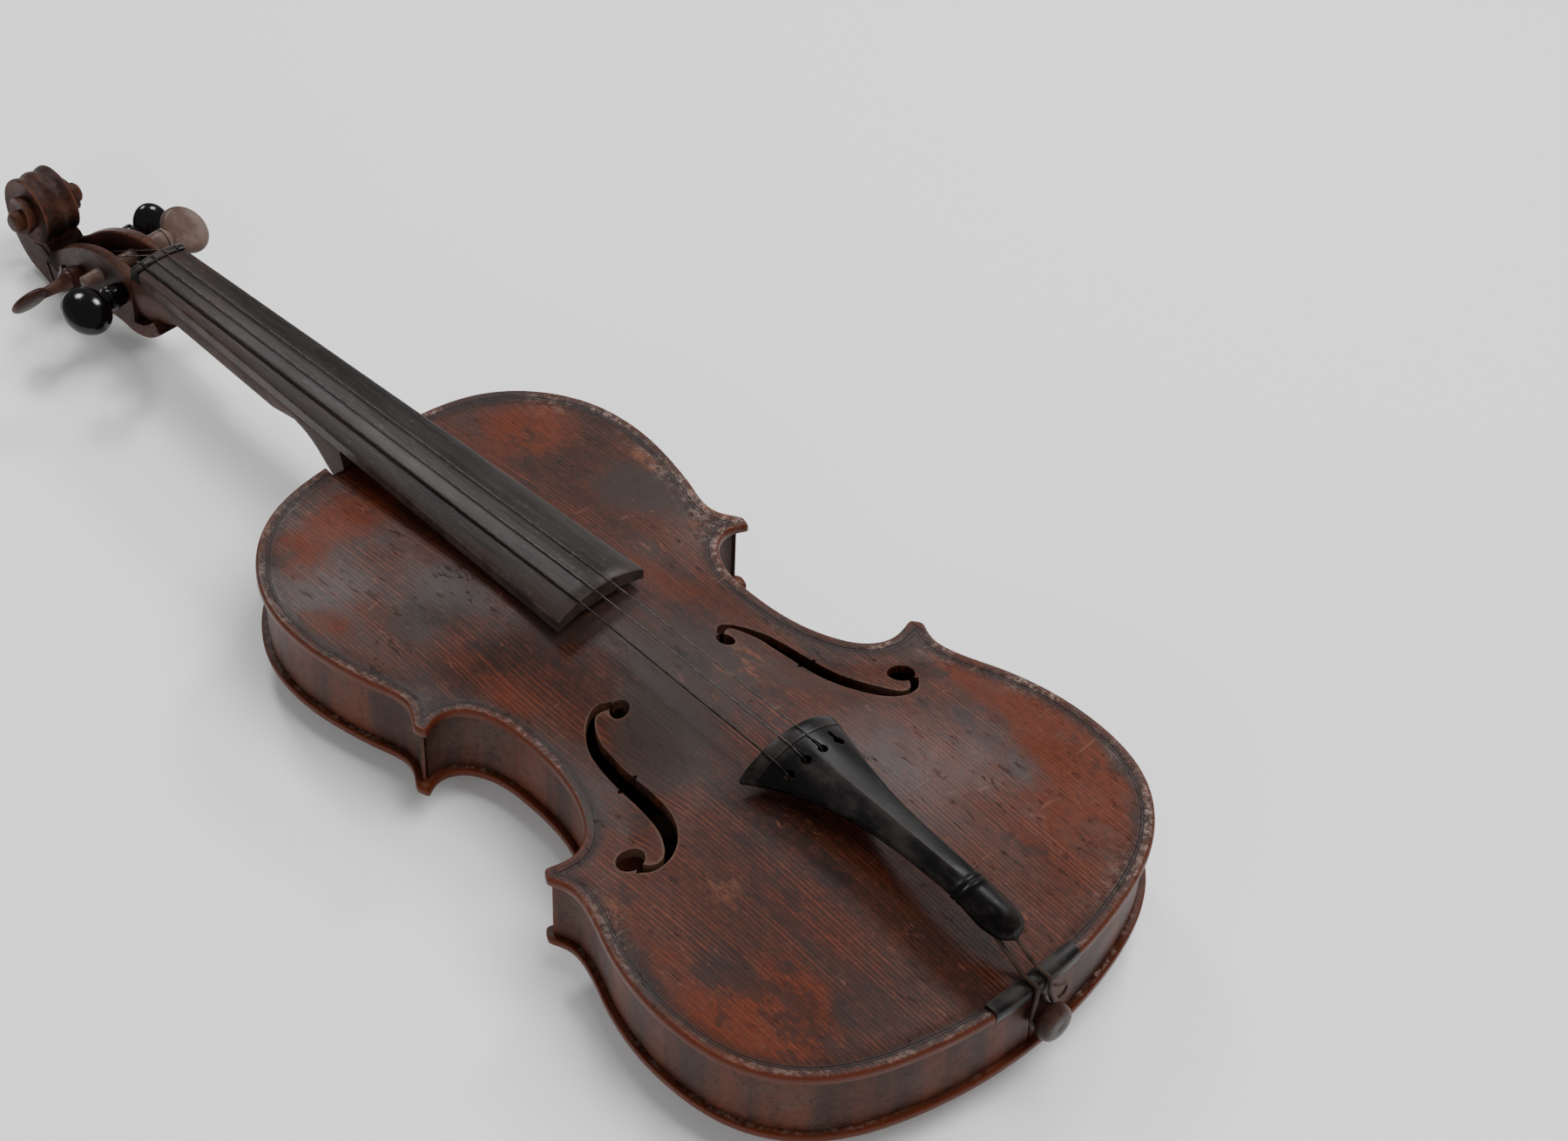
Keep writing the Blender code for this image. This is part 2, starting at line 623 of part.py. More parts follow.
def make_blocks():
    """End blocks for the button and the neck, and four corner blocks."""
    inset = OVERHANG + RIB_THICKNESS + GAP
    low, high = -GAP - RIB_HEIGHT, -GAP
    half = END_BLOCK_WIDTH / 2
    tail = [p for p in inward(LOWER, inset) if p[0] < half]
    tail = thinned(tail)
    front = [(-x, y) for x, y in reversed(tail)][:-1] + tail
    block = flat_piece("end_block", front + [(half, inset + END_BLOCK_DEPTH),
                                             (-half, inset + END_BLOCK_DEPTH)], low, high)
    hole = rod("button_bore", (BUTTON_X, 0, -BUTTON_DROP), BUTTON_SHAFT_RADIUS + GAP,
               3 * END_BLOCK_DEPTH, "Y")
    combine(block, hole, "DIFFERENCE")
    finish_part(block, "bare_spruce")
    front_y = BODY_LENGTH - NECK_MORTISE - GAP
    block = box("neck_block", (-half, front_y - END_BLOCK_DEPTH, low), (half, front_y, high))
    finish_part(block, "bare_spruce")
    middle = BODY_LENGTH / 2
    for name, bout, bout_keep, waist_keep in (
            ("lower", LOWER, lambda p: p[1] > 0.362 * BODY_LENGTH,
             lambda p: p[0] > LOWER_BLOCK_REACH and p[1] < middle),
            ("upper", UPPER, lambda p: p[1] < 0.70 * BODY_LENGTH,
             lambda p: p[0] > UPPER_BLOCK_REACH and p[1] > middle)):
        along = [p for p in inward(bout, inset) if bout_keep(p) and nearest(p, MIDDLE) > inset]
        around = [p for p in inward(MIDDLE, inset) if waist_keep(p) and nearest(p, bout) > inset]
        along, around = thinned(along, BLOCK_TOLERANCE), thinned(around, BLOCK_TOLERANCE)
        flat = along + around[1:] if name == "lower" else around[:-1] + along
        for side, label in ((-1, "bass"), (1, "treble")):
            block = flat_piece(f"corner_block_{name}_{label}", sided(flat, side), low, high)
            finish_part(block, "bare_spruce")


def between_corner_blocks(point):
    """Whether a point of the waist is clear of both corner blocks."""
    reach = LOWER_BLOCK_REACH if point[1] < BODY_LENGTH / 2 else UPPER_BLOCK_REACH
    return point[0] < reach - GAP


def make_linings():
    """Twelve linings, along both edges of every rib between the blocks."""
    near = OVERHANG + RIB_THICKNESS + GAP
    far = near + LINING_THICKNESS
    side_room = END_BLOCK_WIDTH / 2 + GAP
    spans = {
        "lower": (LOWER, lambda p: p[0] > side_room and p[1] < 0.36 * BODY_LENGTH),
        "middle": (MIDDLE, between_corner_blocks),
        "upper": (UPPER, lambda p: p[0] > side_room and p[1] > 0.703 * BODY_LENGTH),
    }
    levels = {"belly": (-GAP - LINING_HEIGHT, -GAP),
              "back": (-GAP - RIB_HEIGHT, -GAP - RIB_HEIGHT + LINING_HEIGHT)}
    for bout, (points, keep) in spans.items():
        flat = strip(points, near, far, keep)
        for side, label in ((-1, "bass"), (1, "treble")):
            for edge, (low, high) in levels.items():
                name = f"lining_{bout}_{edge}_{label}"
                finish_part(flat_piece(name, sided(flat, side), low, high), "bare_spruce")


def make_bass_bar():
    """The bass bar, fitted under the belly and deepest in the middle."""
    rings = []
    middle = BODY_LENGTH * 0.49
    stations = 12
    for i in range(stations + 1):
        t = 2 * i / stations - 1
        y = middle + t * BASS_BAR_LENGTH / 2
        left, right = BASS_BAR_X - BASS_BAR_WIDTH / 2, BASS_BAR_X + BASS_BAR_WIDTH / 2
        top = min(belly_inside(left, y), belly_inside(right, y)) - 2 * GAP
        deep = BASS_BAR_HEIGHT * (0.3 + 0.7 * (1 - t * t))
        rings.append([(left, y, top), (right, y, top), (right, y, top - deep),
                      (left, y, top - deep)])
    finish_part(loft("bass_bar", rings), "bare_spruce")


def make_sound_post():
    """The sound post, standing between back and belly."""
    ring = [(SOUND_POST_X + SOUND_POST_RADIUS * math.cos(a), SOUND_POST_Y
             + SOUND_POST_RADIUS * math.sin(a)) for a in [math.tau * k / 12 for k in range(12)]]
    top = min(belly_inside(x, y) for x, y in ring) - GAP
    bottom = max(back_inside(x, y) for x, y in ring) + GAP
    post = rod("sound_post", (SOUND_POST_X, SOUND_POST_Y, (top + bottom) / 2),
               SOUND_POST_RADIUS, top - bottom, "Z", 16)
    finish_part(post, "bare_spruce")


# ---------------------------------------------------------------- neck and head
NUT_Y = BODY_LENGTH + NECK_STOP


def glue_plane(y):
    """Level of the fingerboard's glued face."""
    return PLATE_EDGE + NECK_OVERSTAND - NECK_SLOPE * (y - BODY_LENGTH)


def neck_width(y):
    """Width of neck and fingerboard."""
    along = (NUT_Y - y) / BOARD_LENGTH
    return BOARD_WIDTH_NUT + (BOARD_WIDTH_END - BOARD_WIDTH_NUT) * along


def neck_ring(y, bottom, bottom_width, points=9):
    """Flat-topped, round-bellied section of the neck."""
    top = glue_plane(y)
    half = neck_width(y) / 2
    ring = [(half, y, top), (-half, y, top)]
    for i in range(points):
        angle = math.pi * i / (points - 1)
        x = -math.cos(angle)
        drop = math.sin(angle) ** 0.75
        side = half + (bottom_width / 2 - half) * drop if bottom_width else half
        ring.append((x * side, y, top - 1.5 * MM - drop * (top - 1.5 * MM - bottom)))
    return ring


def make_neck_shaft():
    """Root, heel and shaft of the neck."""
    rings = []
    floor = BACK_LEVEL + GAP
    root = BODY_LENGTH - NECK_MORTISE
    bottom_width = NECK_ROOT_BOTTOM_WIDTH
    heel = [(0.0, 0.0), (6.3, 0.0), (12.0, 0.0), (15.0, 2.4), (18.0, 7.0), (22.0, 13.6),
            (27.0, 19.4), (34.0, 23.6)]
    for along, rise in heel:
        y = root + along * MM
        rings.append(neck_ring(y, floor + rise * MM, bottom_width))
    for y in (BODY_LENGTH + 40 * MM, BODY_LENGTH + 70 * MM, NUT_Y - 24 * MM):
        share = (y - BODY_LENGTH) / NECK_STOP
        depth = NECK_DEPTH_ROOT + (NECK_DEPTH_NUT - NECK_DEPTH_ROOT) * share
        rings.append(neck_ring(y, glue_plane(y) - depth, 0))
    for along, depth in ((-16, 16.2), (-8, 22.6), (2, 28.2)):
        y = NUT_Y + along * MM
        rings.append(neck_ring(y, glue_plane(y) - depth * MM, neck_width(y) * 0.9))
    return loft("neck_and_scroll", rings)


def head_point(along, above):
    """Side-view head point in millimetres to body y and z."""
    y = NUT_Y + along * MM
    return y, glue_plane(y) + above * MM


def pegbox_half_width(y):
    """Half width of the pegbox, narrowing from nut to throat."""
    share = min(max((y - NUT_Y) / (66 * MM), 0.0), 1.3)
    return (PEGBOX_WIDTH_NUT + (PEGBOX_WIDTH_THROAT - PEGBOX_WIDTH_NUT) * share) / 2


def side_slab(name, profile, half_width):
    """A slab cut from a side-view profile; half_width gives its half thickness at y."""
    rings = []
    for sign in (-1, 1):
        rings.append([(sign * half_width(y), y, z) for y, z in profile])
    return loft(name, rings)


def scroll_sweep():
    """Side profile of the scroll's outer turn, from the throat round to the back."""
    centre_y, centre_z = head_point(*SCROLL_CENTRE)
    points = []
    for i in range(19):
        angle = math.radians(-118 + i * 16)
        radius = SCROLL_RADIUS * (1.0 - 0.12 * i / 18)
        points.append((centre_y + radius * math.cos(angle), centre_z + radius * math.sin(angle)))
    return points


def make_neck_and_scroll():
    """Neck, pegbox and scroll, carved from one length of maple."""
    neck = make_neck_shaft()
    bottom = [head_point(*p) for p in CHIN_AND_BACK if p[0] > -3]
    top = [head_point(*p) for p in CHEEK_TOP]
    start = head_point(0.5, -0.2)
    pegbox = side_slab("pegbox", bottom + top[::-1] + [start], pegbox_half_width)
    combine(neck, pegbox, "UNION")
    scroll = side_slab("scroll_turn", scroll_sweep(), lambda y: SCROLL_HALF_WIDTH)
    combine(neck, scroll, "UNION")
    centre_y, centre_z = head_point(*SCROLL_CENTRE)
    inner = rod("scroll_inner", (0, centre_y, centre_z + 2 * MM), SCROLL_INNER_RADIUS,
                2 * SCROLL_INNER_HALF_WIDTH, "X", 24)
    combine(neck, inner, "UNION")
    eye = rod("scroll_eye", (0, centre_y, centre_z + 1 * MM), SCROLL_EYE_RADIUS,
              2 * SCROLL_EYE_HALF_WIDTH, "X", 16)
    combine(neck, eye, "UNION")
    floor = [(y + 1 * MM, z + PEGBOX_FLOOR) for y, z in [head_point(*p) for p in CHIN_AND_BACK]
             if NUT_Y + 4 * MM < y < NUT_Y + 63 * MM]
    floor.append(head_point(*HOLLOW_END[0]))
    start_y = NUT_Y + PEG_PLACES["g"][0] * MM - WINDING_REACH - WINDING_CLEARANCE
    floor = [(start_y, glue_plane(start_y) - 22 * MM)] + floor
    lid = [head_point(*p) for p in HOLLOW_END[1:]]
    lid.append((start_y, glue_plane(start_y) + 20 * MM))
    hollow = side_slab("pegbox_hollow", floor + lid, lambda y: pegbox_half_width(y) - PEGBOX_WALL)
    combine(neck, hollow, "DIFFERENCE")
    for key, (along, above, side, _) in PEG_PLACES.items():
        y, z = head_point(along, above)
        reach = pegbox_half_width(y) + 6 * MM
        bore = turned("peg_bore_" + key, peg_profile(side, y, -reach, reach, PEG_HOLE_CLEARANCE), 16)
        bore.data.transform(Matrix.Translation((0, y, z)))
        combine(neck, bore, "DIFFERENCE")
    finish_part(neck, "head_varnish", 40)


def board_ring(y, radius, side, hollow, bottom):
    """Section of the fingerboard: arched above, hollowed below."""
    half = neck_width(y) / 2
    crown = radius - math.sqrt(radius ** 2 - half ** 2)
    ring = []
    steps = 8
    for i in range(steps + 1):
        x = half - 2 * half * i / steps
        arch = math.sqrt(radius ** 2 - x * x) - radius + crown
        ring.append((x, y, bottom + side + arch))
    for i in range(steps + 1):
        x = -half + 2 * half * i / steps
        share = 1 - (x / half) ** 2 if abs(x) < half else 0.0
        ring.append((x, y, bottom + hollow * min(1.0, share * 1.25)))
    return ring


def make_fingerboard():
    """The ebony fingerboard, running free over the belly."""
    rings = []
    end = NUT_Y - BOARD_LENGTH
    for y, hollow in ((end, BOARD_HOLLOW), (BODY_LENGTH - 30 * MM, BOARD_HOLLOW),
                      (BODY_LENGTH - NECK_MORTISE - 2 * MM, 0.0), (NUT_Y - 2 * GAP, 0.0)):
        rings.append(board_ring(y, BOARD_RADIUS, BOARD_SIDE, hollow, glue_plane(y) + GAP))
    finish_part(loft("fingerboard", rings), "board_ebony", 40)


def make_nut():
    """The nut at the end of the fingerboard."""
    rings = []
    for y in (NUT_Y, NUT_Y + NUT_LENGTH):
        rings.append(board_ring(y, BOARD_RADIUS, NUT_HEIGHT - GAP, 0.0, glue_plane(y) + GAP))
    finish_part(loft("nut", rings), "black_fitting")


# ---------------------------------------------------------------- pegs
def peg_radius(along, y):
    """Radius of a peg's tapered shaft, measured from its head side."""
    share = (along + pegbox_half_width(y)) / (2 * pegbox_half_width(y))
    return PEG_RADIUS_HEAD_END + (PEG_RADIUS_TIP - PEG_RADIUS_HEAD_END) * share


def peg_profile(side, y, start, stop, clearance):
    """Tapered profile along X for a peg whose head is on the given side."""
    points = []
    for x in (start, stop):
        points.append((x * side, peg_radius(-x, y) + clearance))
    points.sort()
    ends = [(points[0][0], 0.0), points[0], points[1], (points[1][0], 0.0)]
    return ends


def make_peg(key, finish):
    """One turned peg: tapered shaft, ringed collar and flattened oval head."""
    along, above, side, turn = PEG_PLACES[key]
    y, z = head_point(along, above)
    cheek = pegbox_half_width(y)
    head = PEG_REACH[key]
    collar = head - PEG_HEAD_LENGTH / 2 - 1.0 * MM
    tip = -(cheek + PEG_TIP_PROUD)
    radius = PEG_COLLAR_RADIUS
    profile = [(tip, 0.0), (tip, peg_radius(-tip, y) * 0.8), (tip + 0.6 * MM, peg_radius(-tip, y)),
               (cheek + 0.6 * MM, peg_radius(-cheek, y)), (cheek + 1.4 * MM, radius * 0.9),
               (collar - 2.6 * MM, radius), (collar - 1.2 * MM, radius * 0.86),
               (collar, radius), (collar + 1.6 * MM, radius * 0.72),
               (head, radius * 0.55), (head, 0.0)]
    profile = [(x * side, r) for x, r in profile]
    peg = turned("peg_" + key, profile, 16)
    bpy.ops.mesh.primitive_uv_sphere_add(segments=16, ring_count=10, radius=1.0)
    grip = bpy.context.object
    size = Matrix.Diagonal((PEG_HEAD_LENGTH / 2, PEG_HEAD_WIDTH / 2, PEG_HEAD_THICKNESS / 2, 1))
    facing = Matrix.Rotation(math.radians(turn), 4, "X")
    grip.data.transform(Matrix.Translation((head * side, 0, 0)) @ facing @ size)
    combine(peg, grip, "UNION")
    peg.location = (0, y, z)
    finish_part(peg, finish, 45)


def make_windings():
    """The turns of string wound on the three pegs that still carry one."""
    for key in STRINGS:
        along, above, side, _ = PEG_PLACES[key]
        y, z = head_point(along, above)
        middle = winding_x(key)
        inner = PEG_RADIUS_HEAD_END + GAP
        outer = WINDING_REACH
        half = WINDING_LENGTH / 2
        coil = turned("winding_" + key, [(middle - half, 0.0), (middle - half, outer),
                                         (middle + half, outer), (middle + half, 0.0)], 16)
        combine(coil, rod("coil_bore", (middle, 0, 0), inner, 4 * WINDING_LENGTH, "X", 16),
                "DIFFERENCE")
        coil.location = (0, y, z)
        finish_part(coil, "gut")


def winding_x(key):
    """Middle of a winding across the pegbox."""
    return WINDING_PLACES[key]


# ---------------------------------------------------------------- fittings at the tail
def tailpiece_level(y):
    """Crown of the tailpiece along its length."""
    share = (y - TAILPIECE_START) / TAILPIECE_LENGTH
    return TAILPIECE_TAIL_CROWN + (TAILPIECE_CROWN - TAILPIECE_TAIL_CROWN) * share


TAILPIECE_SHAPE = [(0.0, 0.30, 0.55), (0.012, 0.62, 0.35), (0.045, 0.92, 0.12), (0.10, 1.04, 0.0),
                   (0.19, 1.02, 0.0), (0.21, 1.10, -0.05), (0.23, 1.0, 0.0), (0.45, 1.12, 0.0),
                   (0.62, 1.45, 0.0), (0.78, 2.10, 0.0), (0.90, 2.80, 0.0), (1.0, 3.45, 0.0)]


def tailpiece_ring(share, width, sink):
    """Cross-section of the tailpiece: arched above and hollowed below."""
    y = TAILPIECE_START + share * TAILPIECE_LENGTH
    half = min(width * TAILPIECE_NECK_WIDTH, TAILPIECE_WIDTH) / 2
    radius = max(TAILPIECE_RADIUS * min(1.0, share + 0.15), half * 1.12)
    crown = tailpiece_level(y) - sink * 6 * MM
    thick = TAILPIECE_THICKNESS + (1.0 - min(share / 0.5, 1.0)) * 4.0 * MM
    thick = thick * (1 - 0.6 * max(sink, 0.0))
    ring = []
    steps = 8
    for i in range(steps + 1):
        x = half - 2 * half * i / steps
        ring.append((x, y, crown - radius + math.sqrt(radius ** 2 - x * x)))
    edge = crown - radius + math.sqrt(radius ** 2 - half ** 2)
    rim = edge - 1.2 * MM
    for i in range(steps + 1):
        x = -half + 2 * half * i / steps
        ring.append((x, y, rim + (crown - thick - rim) * (1 - (x / half) ** 2)))
    return ring


def make_tailpiece():
    """The black tailpiece with four string holes and slots, and its fret."""
    tail = loft("tailpiece", [tailpiece_ring(*s) for s in TAILPIECE_SHAPE])
    hole_y = string_hole_y()
    for place in (-1.5, -0.5, 0.5, 1.5):
        x = place * STRING_SPACING
        hole = rod("string_hole", (x, hole_y, TAILPIECE_CROWN), STRING_HOLE_RADIUS, 40 * MM, "Z", 12)
        combine(tail, hole, "DIFFERENCE")
        half = STRING_SLOT_WIDTH / 2
        slot = box("string_slot", (x - half, hole_y, -10 * MM), (x + half, hole_y + 5 * MM, 60 * MM))
        combine(tail, slot, "DIFFERENCE")
    start, stop = fret_span()
    groove = fret_body("fret_groove", start - GAP, stop + GAP, -1.2 * MM, 6 * MM, 6 * MM)
    combine(tail, groove, "DIFFERENCE")
    finish_part(tail, "black_fitting", 40)
    fret = fret_body("tailpiece_fret", start, stop, -1.2 * MM + GAP, FRET_RISE, -1.0 * MM)
    finish_part(fret, "black_fitting", 40)


def string_hole_y():
    """Where the strings enter the tailpiece."""
    return TAILPIECE_START + TAILPIECE_LENGTH - 14.0 * MM


def fret_span():
    """Start and stop of the tailpiece's fret."""
    stop = TAILPIECE_START + TAILPIECE_LENGTH - 4.5 * MM
    return stop - FRET_LENGTH, stop


def fret_body(name, start, stop, low, high, extra):
    """A curved bar that follows the tailpiece's cross arching."""
    rings = []
    half = TAILPIECE_WIDTH / 2 * 0.86 + extra
    radius = TAILPIECE_RADIUS
    half = min(half, radius * 0.97)
    for y in (start, stop):
        ring = []
        steps = 10
        crown = tailpiece_level(y)
        for i in range(steps + 1):
            x = half - 2 * half * i / steps
            ring.append((x, y, crown + high - radius + math.sqrt(radius ** 2 - x * x)))
        for i in range(steps + 1):
            x = -half + 2 * half * i / steps
            ring.append((x, y, crown + low - radius + math.sqrt(radius ** 2 - x * x)))
        rings.append(ring)
    return loft(name, rings)


def make_saddle():
    """The wide ebony saddle let into the belly's tail edge."""
    half = SADDLE_WIDTH / 2
    outer = thinned([p for p in LOWER if p[0] < half] + [(half, edge_y(half))])
    front = [(-x, y) for x, y in reversed(outer)][:-1] + outer
    saddle = flat_piece("saddle", front + [(half, SADDLE_DEPTH), (-half, SADDLE_DEPTH)],
                        0.0, PLATE_EDGE + SADDLE_RISE)
    finish_part(saddle, "black_fitting")


def edge_y(x):
    """Tail edge of the outline at a distance from the centre."""
    for (x0, y0), (x1, y1) in zip(LOWER, LOWER[1:]):
        if x0 <= x <= x1:
            return y0 + (x - x0) / (x1 - x0) * (y1 - y0)
    return 0.0


def make_end_button():
    """The turned button that holds the tail gut."""
    rib = OVERHANG
    shaft_end = rib + RIB_THICKNESS + END_BLOCK_DEPTH
    profile = [(-shaft_end, 0.0), (-shaft_end, BUTTON_SHAFT_RADIUS * 0.85),
               (-rib + GAP, BUTTON_SHAFT_RADIUS), (-rib + GAP, BUTTON_NECK_RADIUS + 0.9 * MM),
               (-rib + 1.1 * MM, BUTTON_NECK_RADIUS), (-rib + 4.6 * MM, BUTTON_NECK_RADIUS),
               (-rib + 5.6 * MM, BUTTON_HEAD_RADIUS * 0.9), (-rib + 7.6 * MM, BUTTON_HEAD_RADIUS),
               (-rib + BUTTON_LENGTH - 1.0 * MM, BUTTON_HEAD_RADIUS * 0.92),
               (-rib + BUTTON_LENGTH, BUTTON_HEAD_RADIUS * 0.78), (-rib + BUTTON_LENGTH, 0.0)]
    button = turned("end_button", profile, 20)
    turn = Matrix.Rotation(-math.pi / 2, 4, "Z")
    button.data.transform(Matrix.Translation((BUTTON_X, 0, -BUTTON_DROP)) @ turn)
    finish_part(button, "brown_fitting", 40)


def make_tail_gut():
    """The loop of gut from the tailpiece over the saddle and round the button."""
    radius = GUT_RADIUS
    over = PLATE_EDGE + SADDLE_RISE + GAP + radius
    loop = BUTTON_NECK_RADIUS + GAP + radius
    neck_y = OVERHANG - 3.0 * MM
    hole_y = TAILPIECE_START + 8 * MM
    under = tailpiece_level(hole_y) - TAILPIECE_THICKNESS - 5.2 * MM
    half = GUT_HALF_SPACING
    bend = GAP + radius + 0.1 * MM
    corner = PLATE_EDGE + SADDLE_RISE
    right = [(half, hole_y + 4 * MM, under), (half, hole_y, under - 0.6 * MM),
             (half, SADDLE_DEPTH, over + 1.0 * MM), (half, 3.0 * MM, over + 0.1 * MM)]
    for i in range(4):
        angle = math.radians(90 + 30 * i)
        right.append((half, bend * math.cos(angle), corner + bend * math.sin(angle)))
    right.append((half + 0.4 * MM, -bend, -2.0 * MM))
    around = []
    for i in range(13):
        angle = math.radians(-20 + 220 * i / 12)
        around.append((BUTTON_X + loop * math.cos(angle), neck_y,
                       -BUTTON_DROP - loop * math.sin(angle)))
    left = [(-x, y, z) for x, y, z in reversed(right)]
    gut = tube("tail_gut", right + around + left, radius)
    finish_part(gut, "gut")


def make_strings():
    """Three strings, from the tailpiece over the fingerboard and nut to their pegs."""
    hole_y = string_hole_y()
    for key, (place, radius) in STRINGS.items():
        x0 = place * STRING_SPACING
        x1 = place * STRING_SPACING_NUT
        _, fret = fret_span()
        fret_y = fret - FRET_LENGTH / 2
        arch = TAILPIECE_RADIUS - math.sqrt(TAILPIECE_RADIUS ** 2 - x0 ** 2)
        rise = tailpiece_level(fret_y) + FRET_RISE - arch + GAP + radius
        surface = tailpiece_level(hole_y) - arch
        end = NUT_Y - BOARD_LENGTH
        share = (end - fret_y) / (NUT_Y - fret_y)
        x_end = x0 + (x1 - x0) * share
        path = [(x0, hole_y, surface - 3.0 * MM), (x0, hole_y + 0.6 * MM, surface - 0.6 * MM),
                (x0, fret_y - 1.6 * MM, rise - 0.1 * MM), (x0, fret_y + 1.6 * MM, rise),
                (x_end, end - 1.0 * MM, board_top(x_end, end) + GAP + radius),
                (x1, NUT_Y - 3 * MM, nut_top(x1) + GAP + radius),
                (x1, NUT_Y + NUT_LENGTH, nut_top(x1) + GAP + radius)]
        along, above, _, _ = PEG_PLACES[key]
        peg_y, peg_z = head_point(along, above)
        reach = WINDING_REACH + GAP + radius
        path.append((winding_x(key), peg_y - reach * 0.35, peg_z + reach * 0.96))
        string = tube("string_" + key, path, radius)
        finish_part(string, "string_steel")


def board_top(x, y):
    """Upper face of the fingerboard."""
    half = neck_width(y) / 2
    crown = BOARD_RADIUS - math.sqrt(BOARD_RADIUS ** 2 - half ** 2)
    return glue_plane(y) + GAP + BOARD_SIDE + math.sqrt(BOARD_RADIUS ** 2 - x * x) - BOARD_RADIUS + crown


def nut_top(x):
    """Upper face of the nut."""
    half = BOARD_WIDTH_NUT / 2
    crown = BOARD_RADIUS - math.sqrt(BOARD_RADIUS ** 2 - half ** 2)
    return glue_plane(NUT_Y) + NUT_HEIGHT + math.sqrt(BOARD_RADIUS ** 2 - x * x) - BOARD_RADIUS + crown


# ---------------------------------------------------------------- lying down
def lowest(points, tilt):
    """Lowest level of body points once the head end is tipped down by an angle."""
    return min(z * math.cos(tilt) - y * math.sin(tilt) for _, y, z in points)


def lay_on_back():
    """Tip the violin until the back's arch and the scroll both touch the ground."""
    back = [tuple(v.co) for v in bpy.data.objects["back_plate"].data.vertices]
    head = [tuple(v.co) for v in bpy.data.objects["neck_and_scroll"].data.vertices]
    low, high = 0.0, 0.2
    for _ in range(40):
        tilt = (low + high) / 2
        if lowest(back, tilt) < lowest(head, tilt):
            low = tilt
        else:
            high = tilt
    frame = bpy.data.objects.new("rest_frame", None)
    PARTS.objects.link(frame)
    frame.rotation_euler = (-tilt, 0, 0)
    pieces = [o for o in PARTS.objects if o.type == "MESH"]
    turn = Matrix.Rotation(-tilt, 4, "X")
    corners = [turn @ (Matrix.Translation(o.location) @ v.co) for o in pieces
               for v in o.data.vertices]
    low = [min(c[i] for c in corners) for i in range(3)]
    high = [max(c[i] for c in corners) for i in range(3)]
    frame.location = (-(low[0] + high[0]) / 2, -(low[1] + high[1]) / 2, -low[2])
    for piece in pieces:
        piece.parent = frame
    print("tilt", math.degrees(tilt), "frame", tuple(frame.location), "size",
          [h - l for l, h in zip(low, high)])


clear_scene()
PARTS = new_collection("violin")
make_belly()
make_back()
make_ribs()
make_blocks()
make_linings()
make_bass_bar()
make_sound_post()
make_neck_and_scroll()
make_fingerboard()
make_nut()
make_peg("g", "black_fitting")
make_peg("d", "brown_fitting")
make_peg("a", "black_fitting")
make_peg("e", "grey_fitting")
make_windings()
make_tailpiece()
make_saddle()
make_end_button()
make_tail_gut()
make_strings()
lay_on_back()
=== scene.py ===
# %% [markdown]
# # An old violin, lying on its back
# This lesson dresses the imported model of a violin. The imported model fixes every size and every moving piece.
# Each visible piece is then made again with finer curves, rounder edges and a worn finish.

# %% Load the fixed frame
import math

import bmesh
import bpy
import numpy as np
from mathutils import Matrix, Vector
from mathutils.geometry import delaunay_2d_cdt
from mathutils.kdtree import KDTree


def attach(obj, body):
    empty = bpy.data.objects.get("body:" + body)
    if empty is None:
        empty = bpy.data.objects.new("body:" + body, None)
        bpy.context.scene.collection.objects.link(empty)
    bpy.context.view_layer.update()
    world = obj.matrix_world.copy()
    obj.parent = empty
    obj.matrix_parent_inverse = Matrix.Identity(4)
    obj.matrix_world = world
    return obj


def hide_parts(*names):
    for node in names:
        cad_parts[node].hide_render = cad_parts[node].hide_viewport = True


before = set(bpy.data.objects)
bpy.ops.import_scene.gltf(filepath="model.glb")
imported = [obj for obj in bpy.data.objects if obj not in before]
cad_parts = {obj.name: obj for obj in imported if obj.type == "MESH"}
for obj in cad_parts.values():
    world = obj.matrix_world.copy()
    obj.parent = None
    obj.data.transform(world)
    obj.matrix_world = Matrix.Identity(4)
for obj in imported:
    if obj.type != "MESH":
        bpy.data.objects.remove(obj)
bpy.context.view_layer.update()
for chosen in list(bpy.context.selected_objects):
    chosen.select_set(False)

# %% [markdown]
# ## Where the violin lies
# A violin on its back rests on the crown of its back and on its scroll, so its body tips a little towards the
# head. Pieces are drawn along the violin's own centre line and then laid down together with one matrix.

# %% The violin's own coordinates
MM = 0.001
TILT = math.radians(0.84934803)
LAID = Matrix.Translation((0.0, -0.28997922, 0.04905128)) @ Matrix.Rotation(-TILT, 4, "X")
BODY_LENGTH = 359.2
NUT_Y = BODY_LENGTH + 127.3
PLATE_EDGE = 3.7
RIB_HEIGHT = 27.5
BACK_LEVEL = -(RIB_HEIGHT + 0.6)
NUT_HALF = 11.9
BOARD_LENGTH = 265.0


def placed(name, data):
    """A new object in the scene."""
    obj = bpy.data.objects.new(name, data)
    bpy.context.scene.collection.objects.link(obj)
    return obj


def clamp(value):
    """A value kept between 0 and 1."""
    return min(max(value, 0.0), 1.0)


print("tail edge lies at", [round(v, 4) for v in LAID.translation])

# %% [markdown]
# ## The camera
# The violin is seen from its bass side and a little from the tail, from above, through a long lens. The
# camera is placed by angles about a point on the belly, so the view can be checked against the real size.

